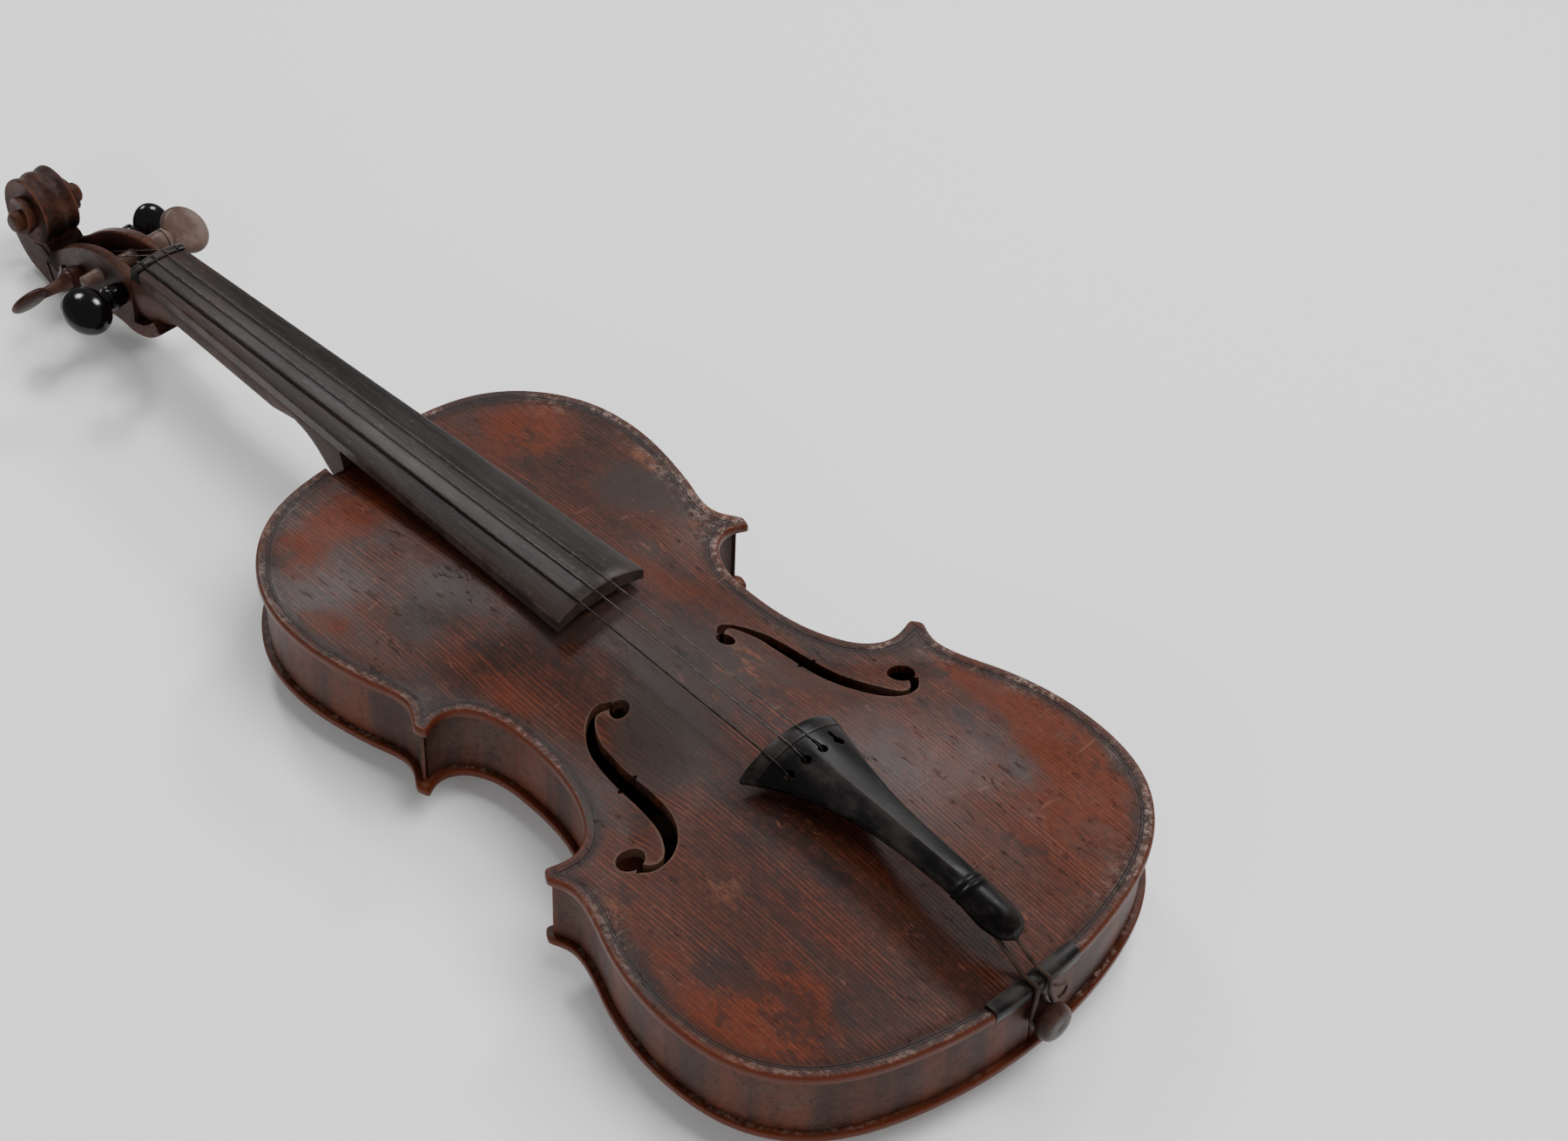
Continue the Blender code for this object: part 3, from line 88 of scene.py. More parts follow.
# %% Camera
AZIMUTH, ELEVATION, ROLL = math.radians(-45.52), math.radians(44.88), math.radians(2.51)
DISTANCE = 1.32336
AIM = Vector((0.07211, 0.20015, 0.0037))
away = Vector((math.sin(AZIMUTH) * math.cos(ELEVATION), -math.cos(AZIMUTH) * math.cos(ELEVATION),
               math.sin(ELEVATION)))
level = Vector((math.cos(AZIMUTH), math.sin(AZIMUTH), 0.0))
upright = away.cross(level)
right = math.cos(ROLL) * level + math.sin(ROLL) * upright
up = math.cos(ROLL) * upright - math.sin(ROLL) * level
camera_data = bpy.data.cameras.new("camera")
camera_data.lens = 81.36
camera_data.sensor_width = 36.0
camera = placed("camera", camera_data)
stand = Matrix((right, up, away)).transposed().to_4x4()
camera.matrix_world = LAID @ Matrix.Translation(AIM + away * DISTANCE) @ stand
bpy.context.scene.camera = camera
print("camera at", [round(v, 3) for v in camera.matrix_world.translation])

# %% [markdown]
# ## Floor and light
# A pale floor and soft lamps suit an old instrument. Two small lamps, on the treble side and by the head,
# skim the arching, which shows the grain and the worn rim. Two large ones fill in and make no mirror spots.

# %% Floor and lamps
bpy.ops.mesh.primitive_plane_add(size=12.0, location=(0.0, 0.0, -0.0006))
floor = bpy.context.object
floor.name = "floor"
floor_paint = bpy.data.materials.new("floor_paper")
floor_paint.use_nodes = True
paper = floor_paint.node_tree.nodes["Principled BSDF"].inputs
paper["Base Color"].default_value = (0.86, 0.86, 0.86, 1.0)
paper["Roughness"].default_value = 0.95
floor.data.materials.append(floor_paint)
world = bpy.data.worlds.new("studio")
world.use_nodes = True
sky = world.node_tree.nodes["Background"].inputs
sky["Color"].default_value = (1.0, 1.0, 1.0, 1.0)
sky["Strength"].default_value = 0.24
bpy.context.scene.world = world


def lamp(name, place, aim, size, power):
    """A square soft lamp that looks at a point."""
    data = bpy.data.lights.new(name, "AREA")
    data.shape = "SQUARE"
    data.size = size
    data.energy = power
    light = placed(name, data)
    light.location = place
    light.rotation_euler = (Vector(aim) - Vector(place)).to_track_quat("-Z", "Y").to_euler()
    return light


lamp("skimming_lamp", (1.04, 0.31, 1.06), (0.03, -0.2, 0.06), 0.26, 7.5)
lamp("head_lamp", (0.34, 0.96, 1.17), (-0.06, 0.03, 0.06), 0.28, 8.0)
for soft in (lamp("top_lamp", (0.3, -0.65, 1.75), (0.0, 0.0, 0.0), 1.2, 38.0),
             lamp("fill_lamp", (-1.3, -0.5, 0.55), (0.0, 0.0, 0.03), 0.9, 9.0)):
    soft.visible_glossy = False

# %% [markdown]
# ## Mixing finishes
# Every finish is a Principled shader fed by noise in the violin's own space. The small class below only saves
# typing: each method adds one node, so that a finish reads like a recipe of stain, wear and polish.

# %% A recipe book for finishes
class Finish:
    """A Principled material whose nodes are added one line at a time."""

    def __init__(self, name, roughness=0.5, specular=0.25):
        self.material = bpy.data.materials.new(name)
        self.material.use_nodes = True
        self.nodes = self.material.node_tree.nodes
        self.links = self.material.node_tree.links
        self.shader = self.nodes["Principled BSDF"]
        self.shader.inputs["Roughness"].default_value = roughness
        self.shader.inputs["Specular IOR Level"].default_value = specular
        self.place = self.nodes.new("ShaderNodeTexCoord").outputs["Object"]

    def feed(self, socket, value):
        """Set a socket to a number or colour, or link it to another node."""
        if isinstance(value, bpy.types.NodeSocket):
            self.links.new(value, socket)
        else:
            socket.default_value = value

    def stretched(self, stretch):
        """The violin's space, stretched along its axes."""
        node = self.nodes.new("ShaderNodeMapping")
        self.links.new(self.place, node.inputs["Vector"])
        node.inputs["Scale"].default_value = stretch
        return node.outputs["Vector"]

    def noise(self, scale, stretch=(1.0, 1.0, 1.0), detail=4.0, rough=0.6):
        """Soft noise; scale is in marks to the metre."""
        node = self.nodes.new("ShaderNodeTexNoise")
        self.links.new(self.stretched(stretch), node.inputs["Vector"])
        node.inputs["Scale"].default_value = scale
        node.inputs["Detail"].default_value = detail
        node.inputs["Roughness"].default_value = rough
        return node.outputs["Fac"]

    def bands(self, scale, stretch, distortion, detail_scale):
        """Even lines that follow X, a little wavy."""
        node = self.nodes.new("ShaderNodeTexWave")
        self.links.new(self.stretched(stretch), node.inputs["Vector"])
        node.inputs["Scale"].default_value = scale
        node.inputs["Distortion"].default_value = distortion
        node.inputs["Detail"].default_value = 3.0
        node.inputs["Detail Scale"].default_value = detail_scale
        return node.outputs["Fac"]

    def level(self, value, low, high, start=0.0, stop=1.0):
        """A smooth step of a value between two levels."""
        node = self.nodes.new("ShaderNodeMapRange")
        node.interpolation_type = "SMOOTHSTEP"
        self.feed(node.inputs["Value"], value)
        for key, number in (("From Min", low), ("From Max", high), ("To Min", start), ("To Max", stop)):
            node.inputs[key].default_value = number
        return node.outputs["Result"]

    def sums(self, operation, first, second):
        """One sum on two values."""
        node = self.nodes.new("ShaderNodeMath")
        node.operation = operation
        self.feed(node.inputs[0], first)
        self.feed(node.inputs[1], second)
        return node.outputs[0]

    def plus(self, first, second):
        """Two values added."""
        return self.sums("ADD", first, second)

    def minus(self, first, second):
        """One value less another."""
        return self.sums("SUBTRACT", first, second)

    def times(self, *values):
        """The product of several masks."""
        product = values[0]
        for value in values[1:]:
            product = self.sums("MULTIPLY", product, value)
        return product

    def blend(self, share, below, above):
        """A colour over another, by a mask."""
        node = self.nodes.new("ShaderNodeMix")
        node.data_type = "RGBA"
        self.feed(node.inputs[0], share)
        for socket, colour in ((node.inputs[6], below), (node.inputs[7], above)):
            self.feed(socket, colour if isinstance(colour, bpy.types.NodeSocket) else (*colour, 1.0))
        return node.outputs[2]

    def coats(self, colour, *layers):
        """A colour under several coats, each a mask and its own colour."""
        for share, above in layers:
            colour = self.blend(share, colour, above)
        return colour

    def measured(self, name):
        """A number stored on the piece's points."""
        node = self.nodes.new("ShaderNodeAttribute")
        node.attribute_name = name
        return node.outputs["Fac"]

    def axis(self, which):
        """One coordinate of the violin's space."""
        node = self.nodes.new("ShaderNodeSeparateXYZ")
        self.links.new(self.place, node.inputs[0])
        return node.outputs[which]

    def finish(self, colour, roughness, height, strength=0.3, distance=0.0003):
        """Feed the shader its colour, gloss and relief."""
        self.feed(self.shader.inputs["Base Color"], colour)
        self.feed(self.shader.inputs["Roughness"], roughness)
        bump = self.nodes.new("ShaderNodeBump")
        bump.inputs["Strength"].default_value = strength
        bump.inputs["Distance"].default_value = distance
        self.feed(bump.inputs["Height"], height)
        self.links.new(bump.outputs["Normal"], self.shader.inputs["Normal"])
        return self.material


print("finish helper ready")

# %% [markdown]
# ## Varnished spruce
# The belly is quarter-sawn spruce under an old red-brown oil varnish. The grain runs from tail to neck as
# fine reddish lines. Hands, bow and rosin have worn the middle grey, and the bouts have kept a warmer orange.

# %% Belly varnish
def belly_varnish():
    """Red-brown varnish over spruce grain, with worn rim, purfling and dust."""
    f = Finish("belly_varnish", specular=0.27)
    grain = f.bands(185.0, (1.0, 0.014, 0.0), 3.8, 1.6)
    fibre = f.noise(900.0, (1.0, 0.03, 0.03), 5.0, 0.7)
    broad = f.noise(60.0, (1.0, 0.05, 0.05), 3.0, 0.6)
    clouds = f.noise(16.0, (1.0, 0.6, 1.0), 5.0, 0.6)
    patches = f.noise(38.0, (1.0, 0.55, 1.0), 7.0, 0.68)
    mottle = f.noise(620.0, (1.0, 0.4, 1.0), 9.0, 0.85)
    ragged = f.times(f.minus(patches, 0.5), 1.3)
    warmth = f.level(f.plus(f.measured("warm"), ragged), 0.15, 0.85)
    ridges = f.times(f.level(grain, 0.55, 0.98), f.level(fibre, 0.35, 0.62),
                     f.level(broad, 0.38, 0.6, 0.3, 1.0))
    reeds = f.times(f.level(grain, 0.35, 0.05), f.level(fibre, 0.45, 0.65), 0.45)
    uneven = f.minus(f.noise(30.0, (1.0, 0.65, 1.0), 8.0, 0.74), 0.5)
    rubbed = f.level(f.plus(f.measured("rubbed"), f.times(uneven, 2.4)), 0.3, 0.75)
    dark = f.level(f.noise(45.0, (1.0, 0.5, 1.0), 7.0, 0.75), 0.55, 0.63)
    specks = f.times(f.level(f.noise(330.0, (1.0, 0.3, 1.0), 7.0, 0.75), 0.6, 0.66),
                     f.level(f.noise(36.0), 0.46, 0.58))
    flaked = f.level(f.noise(150.0, (1.0, 0.45, 1.0), 8.0, 0.8), 0.5, 0.58)
    bare = f.level(f.plus(f.measured("bare"), ragged), 0.35, 0.85)
    dents = f.times(f.level(f.noise(380.0, (1.0, 0.32, 1.0), 7.0, 0.75), 0.59, 0.65),
                    f.level(clouds, 0.38, 0.55, 0.25, 0.9))
    colour = f.coats(
        f.blend(f.level(patches, 0.36, 0.62), (0.013, 0.0062, 0.0046), (0.033, 0.0082, 0.0043)),
        (f.times(f.level(clouds, 0.42, 0.6), 0.5), (0.047, 0.0098, 0.0038)),
        (f.times(warmth, 0.85), (0.086, 0.014, 0.0024)),
        (f.times(ridges, f.level(patches, 0.25, 0.6, 0.45, 0.9)), (0.115, 0.027, 0.0105)),
        (reeds, (0.008, 0.004, 0.0033)),
        (f.times(f.level(mottle, 0.5, 0.6), 0.5), (0.0085, 0.0048, 0.004)),
        (f.times(f.level(mottle, 0.47, 0.4), 0.4), (0.09, 0.026, 0.012)),
        (f.times(rubbed, 0.8), (0.0215, 0.015, 0.0125)),
        (f.times(dark, 0.65), (0.0095, 0.006, 0.005)),
        (f.times(specks, 0.75), (0.12, 0.043, 0.023)),
        (f.times(bare, flaked, 0.75), (0.125, 0.045, 0.02)),
        (f.times(dents, 0.75), (0.006, 0.0034, 0.0028)))
    rim = f.measured("rim")
    hole = f.level(f.measured("hole"), 1.3, 0.2)
    cuts = f.times(f.level(f.noise(260.0, (0.1, 1.0, 1.0)), 0.66, 0.7), f.level(clouds, 0.45, 0.55))
    colour = f.coats(worn_rim(f, colour, rim),
                     (f.times(hole, f.level(patches, 0.45, 0.6), 0.8), (0.0781, 0.0417, 0.0288)),
                     (f.times(cuts, 0.6), (0.11, 0.048, 0.029)))
    gloss = f.minus(f.level(patches, 0.35, 0.7, 0.4, 0.54), f.times(f.measured("polish"), 0.1))
    relief = f.plus(f.plus(f.times(grain, 0.16), f.times(patches, 1.8)),
                    f.plus(f.times(fibre, 0.3), f.times(mottle, 1.1)))
    purfling = f.times(f.level(rim, 3.6, 4.0), f.level(rim, 5.2, 4.8))
    relief = f.minus(f.minus(relief, f.times(dents, 0.8)), purfling)
    return f.finish(colour, f.plus(gloss, f.times(warmth, 0.12)), relief, 0.5, 0.0002)


def worn_rim(f, colour, rim):
    """Red-orange bare rim, pale chips and the dark purfling line."""
    nibble = f.noise(210.0, detail=6.0, rough=0.72)
    reach = f.plus(rim, f.times(nibble, -3.2))
    flaked = f.times(f.measured("bare"), f.level(rim, 14.0, 5.0), 0.8)
    where = f.times(f.level(rim, 5.4, 2.8), f.level(rim, 0.4, 1.6), f.level(f.noise(26.0), 0.44, 0.54))
    side = f.level(f.axis(0), -0.03, 0.03, 0.5, 1.0)
    chips = f.times(f.level(f.noise(300.0, detail=9.0, rough=0.82), 0.5, 0.56),
                    f.sums("MAXIMUM", flaked, f.times(where, side)))
    outer = f.times(f.level(rim, 3.75, 3.95), f.level(rim, 4.45, 4.25))
    inner = f.times(f.level(rim, 4.75, 4.95), f.level(rim, 5.4, 5.2))
    return f.coats(
        colour,
        (f.times(f.level(reach, 0.1, -1.3), 0.9), (0.066, 0.0135, 0.005)),
        (f.times(f.level(rim, 1.4, 3.4), f.level(rim, 10.0, 5.0), 0.55), (0.0105, 0.0058, 0.0044)),
        (f.times(chips, 0.75), (0.185, 0.125, 0.102)),
        (f.times(f.sums("MAXIMUM", outer, inner), f.level(nibble, 0.25, 0.4)), (0.0035, 0.0025, 0.0025)))


BELLY = belly_varnish()
print("made", BELLY.name)

# %% [markdown]
# ## Flamed maple
# Ribs, back, neck and head are maple. Its grain winds, so light and dark stripes cross each rib. They are
# darker than the belly, reddish where the varnish is whole and grey-brown where hands wore it off.

# %% Maple finishes
def maple_varnish(name, stripes, light, dark, bare):
    """Flamed maple under dark varnish; stripes gives the stretch of the flames."""
    f = Finish(name, specular=0.16)
    flames = f.noise(62.0, stripes, 3.0, 0.55)
    clouds = f.noise(22.0, detail=6.0, rough=0.65)
    fibre = f.noise(420.0, (1.0, 0.12, 1.0), 4.0, 0.7)
    mottle = f.noise(360.0, detail=9.0, rough=0.85)
    wear = f.times(f.level(f.measured("wear"), 0.1, 0.9), f.level(f.noise(120.0), 0.32, 0.55))
    colour = f.coats(
        f.blend(f.level(flames, 0.36, 0.64), dark, light),
        (f.times(f.level(clouds, 0.5, 0.68), 0.75), bare),
        (f.times(f.level(fibre, 0.55, 0.7), 0.35), (0.0103, 0.0059, 0.0048)),
        (f.times(f.level(mottle, 0.51, 0.6), 0.6), (0.007, 0.004, 0.0034)),
        (f.times(f.level(mottle, 0.45, 0.38), 0.5), (0.07, 0.03, 0.019)),
        (f.times(wear, 0.85), (0.1049, 0.0334, 0.0158)))
    return f, colour, flames, clouds, fibre


def plain_maple(name, stripes, colours, smooth, rough, rim=False):
    """Maple that needs nothing more, or only the plates' worn rim."""
    f, colour, flames, clouds, fibre = maple_varnish(name, stripes, *colours)
    if rim:
        colour = worn_rim(f, colour, f.measured("rim"))
    return f.finish(colour, f.level(clouds, 0.3, 0.7, smooth, rough), f.plus(flames, fibre), 0.3, 0.0002)


def head_finish():
    """Head: red-brown on the cheeks, worn along every edge, and nearly black in the throat and the pegbox
    hollow, which is painted shade with some dirt.
    """
    f, colour, flames, clouds, _ = maple_varnish(
        "head_varnish", (0.4, 1.0, 0.4),
        (0.054, 0.019, 0.0115), (0.018, 0.0085, 0.0066), (0.042, 0.025, 0.0195))
    streaks = f.noise(160.0, (1.0, 0.25, 0.6), 8.0, 0.8)
    shade_and_grime = f.measured("shade_and_grime")
    colour = f.coats(colour,
                     (f.times(f.level(streaks, 0.5, 0.6), 0.7), (0.006, 0.0034, 0.0028)),
                     (f.times(f.level(streaks, 0.46, 0.36), 0.6), (0.062, 0.02, 0.011)),
                     # Painted shade with some dirt: near-black colour in the throat under the scroll and inside
                     # the pegbox.
                     (f.times(shade_and_grime, 0.94), (0.0024, 0.0012, 0.001)))
    gloss = f.plus(f.level(clouds, 0.3, 0.7, 0.4, 0.55), f.times(shade_and_grime, 0.4))
    return f.finish(colour, gloss, f.plus(flames, f.times(streaks, 2.0)), 0.5, 0.0003)


RIBS = plain_maple("rib_varnish", (1.0, 1.0, 0.06),
                   ((0.08, 0.023, 0.0125), (0.031, 0.0135, 0.0098), (0.064, 0.04, 0.031)), 0.38, 0.55)
BACK = plain_maple("back_varnish", (0.07, 1.0, 0.07),
                   ((0.076, 0.02, 0.0092), (0.029, 0.0092, 0.0056), (0.044, 0.022, 0.0155)), 0.34, 0.52, True)
HEAD = head_finish()
NECK = plain_maple("neck_wood", (0.4, 1.0, 0.4),
                   ((0.0546, 0.0243, 0.0171), (0.0248, 0.0132, 0.0105), (0.046, 0.0317, 0.0262)), 0.42, 0.6)
print("made", RIBS.name, BACK.name, HEAD.name, NECK.name)

# %% [markdown]
# ## Ebony, pegs, gut and steel
# Fingerboard and tailpiece are ebony or blackened pear. Where strings and fingers rubbed, brown and grey show
# through in long streaks. The four pegs don't match, as on many old violins, so each gets its own finish.

# %% Dark woods
def board_finish():
    """Worn black fingerboard with brown and grey streaks."""
    f = Finish("board_ebony", specular=0.22)
    streaks = f.noise(150.0, (1.0, 0.035, 1.0), 6.0, 0.7)
    fine = f.noise(1100.0, (1.0, 0.02, 1.0), 3.0, 0.7)
    clouds = f.noise(26.0, (1.0, 0.3, 1.0), 5.0, 0.6)
    near_nut = f.level(f.axis(1), -0.05, 0.2, 0.0, 0.12)
    brown = f.times(f.level(f.plus(clouds, near_nut), 0.52, 0.66), f.level(streaks, 0.4, 0.6), 0.8)
    dents = f.level(f.noise(420.0, (1.0, 0.5, 1.0), 8.0, 0.8), 0.57, 0.63)
    edge = f.times(f.measured("wear"), f.level(f.noise(90.0), 0.4, 0.6), 0.6)
    colour = f.coats(
        f.blend(f.level(streaks, 0.36, 0.62), (0.0072, 0.0058, 0.0053), (0.023, 0.019, 0.0172)),
        (brown, (0.029, 0.01, 0.0062)),
        (f.times(f.level(fine, 0.56, 0.7), 0.5), (0.036, 0.029, 0.026)),
        (f.times(dents, 0.6), (0.052, 0.043, 0.039)),
        (edge, (0.0553, 0.038, 0.0305)))
    return f.finish(colour, f.level(clouds, 0.3, 0.7, 0.36, 0.5), f.plus(streaks, fine), 0.35, 0.0002)


def dark_wood(name, base, worn, roughness, marks, gloss=0.22):
    """A turned or carved fitting: one stain, rubbed patches, fine scratches and its marked wear, which on the
    tailpiece also holds a painted highlight along the crest.
    """
    f = Finish(name, specular=gloss)
    patches = f.noise(70.0, (1.0, 0.6, 1.0), 6.0, 0.65)
    scratches = f.noise(500.0, (1.0, 0.25, 1.0), 8.0, 0.8)
    colour = f.coats(base,
                     (f.times(f.level(patches, 0.46, 0.66), marks), worn),
                     (f.times(f.level(scratches, 0.55, 0.64), marks * 0.7), worn),
                     (f.times(f.measured("wear"), f.level(patches, 0.4, 0.55), 0.7), worn))
    return f.finish(colour, f.level(patches, 0.3, 0.7, *roughness), f.plus(patches, scratches), 0.2, 0.0002)


BOARD = board_finish()
POLISHED = dark_wood("black_polish", (0.0016, 0.001, 0.0012), (0.006, 0.0046, 0.0046), (0.1, 0.2), 0.3, 0.4)
TAILWOOD = dark_wood("tail_black", (0.0016, 0.0011, 0.0011), (0.026, 0.0205, 0.019), (0.3, 0.44), 0.45, 0.14)
NUTWOOD = dark_wood("nut_ebony", (0.0051, 0.0042, 0.004), (0.0356, 0.0274, 0.0235), (0.3, 0.5), 0.5)
RED_PEG = dark_wood("red_brown_peg", (0.023, 0.0088, 0.006), (0.056, 0.025, 0.017), (0.3, 0.5), 0.7)
GREY_PEG = dark_wood("grey_brown_peg", (0.062, 0.036, 0.027), (0.115, 0.081, 0.068), (0.32, 0.5), 0.9)
BUTTON = dark_wood("button_wood", (0.0172, 0.0072, 0.0056), (0.0544, 0.0274, 0.0197), (0.32, 0.5), 0.8)
GUT = dark_wood("old_gut", (0.02, 0.011, 0.008), (0.056, 0.038, 0.029), (0.5, 0.7), 0.7)
RAW = dark_wood("raw_spruce", (0.11, 0.072, 0.042), (0.07, 0.042, 0.023), (0.7, 0.85), 0.7)
WOUND_END = dark_wood("silk_wrap", (0.15, 0.042, 0.028), (0.26, 0.11, 0.08), (0.6, 0.8), 0.9)


def steel(name, base, worn):
    """A dull old string."""
    f = Finish(name)
    tarnish = f.noise(300.0, detail=3.0)
    f.shader.inputs["Metallic"].default_value = 0.9
    colour = f.blend(f.level(tarnish, 0.35, 0.65), base, worn)
    return f.finish(colour, f.level(tarnish, 0.3, 0.7, 0.35, 0.55), tarnish, 0.1, 0.0001)


WOUND = steel("wound_string", (0.02, 0.016, 0.014), (0.05, 0.042, 0.036))
PLAIN = steel("plain_string", (0.06, 0.052, 0.047), (0.14, 0.125, 0.115))
print("made", BOARD.name, "and the woods, gut and steel of the fittings")

# %% [markdown]
# ## Curves and sections
# A maker draws an outline with a few arcs and carves between sections. The helpers below do the same: they
# run a smooth curve through a few points, loft a skin over sections, and sweep a cord along a path.

# %% Curve and section helpers
def walk(anchors, step=0.5):
    """Points in millimetres along smooth arcs through (x, y, heading) anchors."""
    points = []
    for (x0, y0, h0), (x1, y1, h1) in zip(anchors, anchors[1:]):
        chord = math.hypot(x1 - x0, y1 - y0)
        bend = math.radians(abs((h1 - h0 + 180) % 360 - 180))
        reach = chord * (0.3333 + 0.05 * bend * bend)
        ax, ay = x0 + reach * math.cos(math.radians(h0)), y0 + reach * math.sin(math.radians(h0))
        bx, by = x1 - reach * math.cos(math.radians(h1)), y1 - reach * math.sin(math.radians(h1))
        count = max(4, int(chord / step))
        for i in range(count):
            t = i / count
            s = 1 - t
            weights = (s ** 3, 3 * s * s * t, 3 * s * t * t, t ** 3)
            points.append((sum(w * v for w, v in zip(weights, (x0, ax, bx, x1))),
                           sum(w * v for w, v in zip(weights, (y0, ay, by, y1)))))
    points.append(anchors[-1][:2])
    return points


def through(points, per=8):
    """A smooth curve through points of any dimension."""
    p = np.array(points, float)
    ends = np.vstack([2 * p[0] - p[1], p, 2 * p[-1] - p[-2]])
    out = []
    for a, b, c, d in zip(ends, ends[1:], ends[2:], ends[3:]):
        for i in range(per):
            t = i / per
            out.append(0.5 * (2 * b + (c - a) * t + (2 * a - 5 * b + 4 * c - d) * t * t
                              + (3 * b - a - 3 * c + d) * t ** 3))
    out.append(p[-1])
    return np.array(out)


def even(loop, step):
    """A closed loop with its points spread evenly."""
    p = np.array(loop + [loop[0]], float)
    length = np.concatenate([[0], np.cumsum(np.hypot(*np.diff(p, axis=0).T))])
    at = np.linspace(0, length[-1], int(length[-1] / step), endpoint=False)
    return np.stack([np.interp(at, length, p[:, 0]), np.interp(at, length, p[:, 1])], 1)


def softened(loop, times):
    """A closed loop whose sharp corners are worn round."""
    for _ in range(times):
        loop = 0.25 * np.roll(loop, 1, 0) + 0.5 * loop + 0.25 * np.roll(loop, -1, 0)
    return loop


def inset(loop, distance):
    """A closed loop moved towards its inside."""
    along = np.roll(loop, -1, 0) - np.roll(loop, 1, 0)
    along /= np.linalg.norm(along, axis=1)[:, None]
    return loop + distance * np.stack([-along[:, 1], along[:, 0]], 1)


def lofted(rings, closed_ends=True):
    """Vertices and faces of a skin over rings of equal count."""
    count = len(rings[0])
    vertices = [tuple(p) for ring in rings for p in ring]
    faces = []
    for r in range(len(rings) - 1):
        for i in range(count):
            j = (i + 1) % count
            faces.append((r * count + i, r * count + j, (r + 1) * count + j, (r + 1) * count + i))
    if closed_ends:
        faces.append(tuple(reversed(range(count))))
        faces.append(tuple((len(rings) - 1) * count + i for i in range(count)))
    return vertices, faces


def joined(*shapes):
    """Several closed skins as one list of vertices and faces."""
    vertices, faces = [], []
    for some, others in shapes:
        start = len(vertices)
        vertices += some
        faces += [tuple(start + i for i in face) for face in others]
    return vertices, faces


def search_tree(points):
    """A tree that finds the nearest of many points."""
    tree = KDTree(len(points))
    for i, place in enumerate(points):
        tree.insert(place, i)
    tree.balance()
    return tree


def read_off(at, line):
    """The height of a broken line at one or more places."""
    return np.interp(at, *np.array(line).T)


def pick(*objects):
    """Select these objects only, with the first one active."""
    for other in list(bpy.context.selected_objects):
        other.select_set(False)
    for obj in objects:
        obj.select_set(True)
    bpy.context.view_layer.objects.active = objects[0]


def solid(name, shape):
    """A bare mesh object in metres of the violin, for cutting, joining or dressing."""
    vertices, faces = shape
    mesh = bpy.data.meshes.new(name)
    mesh.from_pydata([tuple(c * MM for c in v) for v in vertices], [], faces)
    work = bmesh.new()
    work.from_mesh(mesh)
    bmesh.ops.remove_doubles(work, verts=work.verts, dist=0.000002)
    bmesh.ops.recalc_face_normals(work, faces=work.faces)
    work.to_mesh(mesh)
    work.free()
    return placed(name, mesh)


def dress(obj, finish, slot, body="violin", nodes=(), smooth=40.0, marks=None):
    """Give a mesh its marks, finish, shading and place, and let it ride on its body."""
    for key, rule in (marks or {}).items():
        values = [rule(v.co.x / MM, v.co.y / MM, v.co.z / MM) for v in obj.data.vertices]
        obj.data.attributes.new(key, "FLOAT", "POINT").data.foreach_set("value", values)
    obj.data.transform(LAID)
    obj.data.materials.clear()
    obj.data.materials.append(finish)
    obj.data.shade_smooth()
    obj.data.set_sharp_from_angle(angle=math.radians(smooth))
    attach(obj, body)
    if nodes:
        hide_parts(*nodes)
    obj.select_set(False)
    return obj


def piece(name, shape, finish, slot, **rest):
    """A solid that is dressed at once."""
    return dress(solid(name, shape), finish, slot, **rest)


def cut(obj, name, shape):
    """Cut a shape out of a mesh."""
    cutter = solid(name, shape)
    pick(obj)
    knife = obj.modifiers.new("cut", "BOOLEAN")
    knife.operation = "DIFFERENCE"
    knife.solver = "EXACT"
    knife.object = cutter
    bpy.ops.object.modifier_apply(modifier=knife.name)
    bpy.data.objects.remove(cutter, do_unlink=True)


def cord_mesh(name, path, radius):
    """A round cord along a path in millimetres, as a mesh."""
    curve = bpy.data.curves.new(name, "CURVE")
    curve.dimensions = "3D"
    curve.bevel_depth = radius * MM
    curve.bevel_resolution = 3
    curve.use_fill_caps = True
    spline = curve.splines.new("POLY")
    spline.points.add(len(path) - 1)
    for point, (x, y, z) in zip(spline.points, path):
        point.co = (x * MM, y * MM, z * MM, 1)
    obj = placed(name, curve)
    pick(obj)
    bpy.ops.object.convert(target="MESH")
    return obj


def box_shape(low, high):
    """A block between two corners."""
    x0, y0, z0 = low
    x1, y1, z1 = high
    return lofted([[(x0, y, z0), (x1, y, z0), (x1, y, z1), (x0, y, z1)] for y in (y0, y1)])


def post_shape(x, y, radius, low, high, sides=48):
    """An upright round post."""
    turns = [math.tau * i / sides for i in range(sides)]
    return lofted([[(x + radius * math.cos(t), y + radius * math.sin(t), z) for t in turns]
                   for z in (low, high)])


print("helpers ready")

# %% [markdown]
# ## Outline and arching
# The outline is drawn as three walks, lower bout, waist and upper bout. The arching is highest in the middle.
# It sinks to a shallow channel along the edge, where the purfling is let in, and rises to a rounded rim.

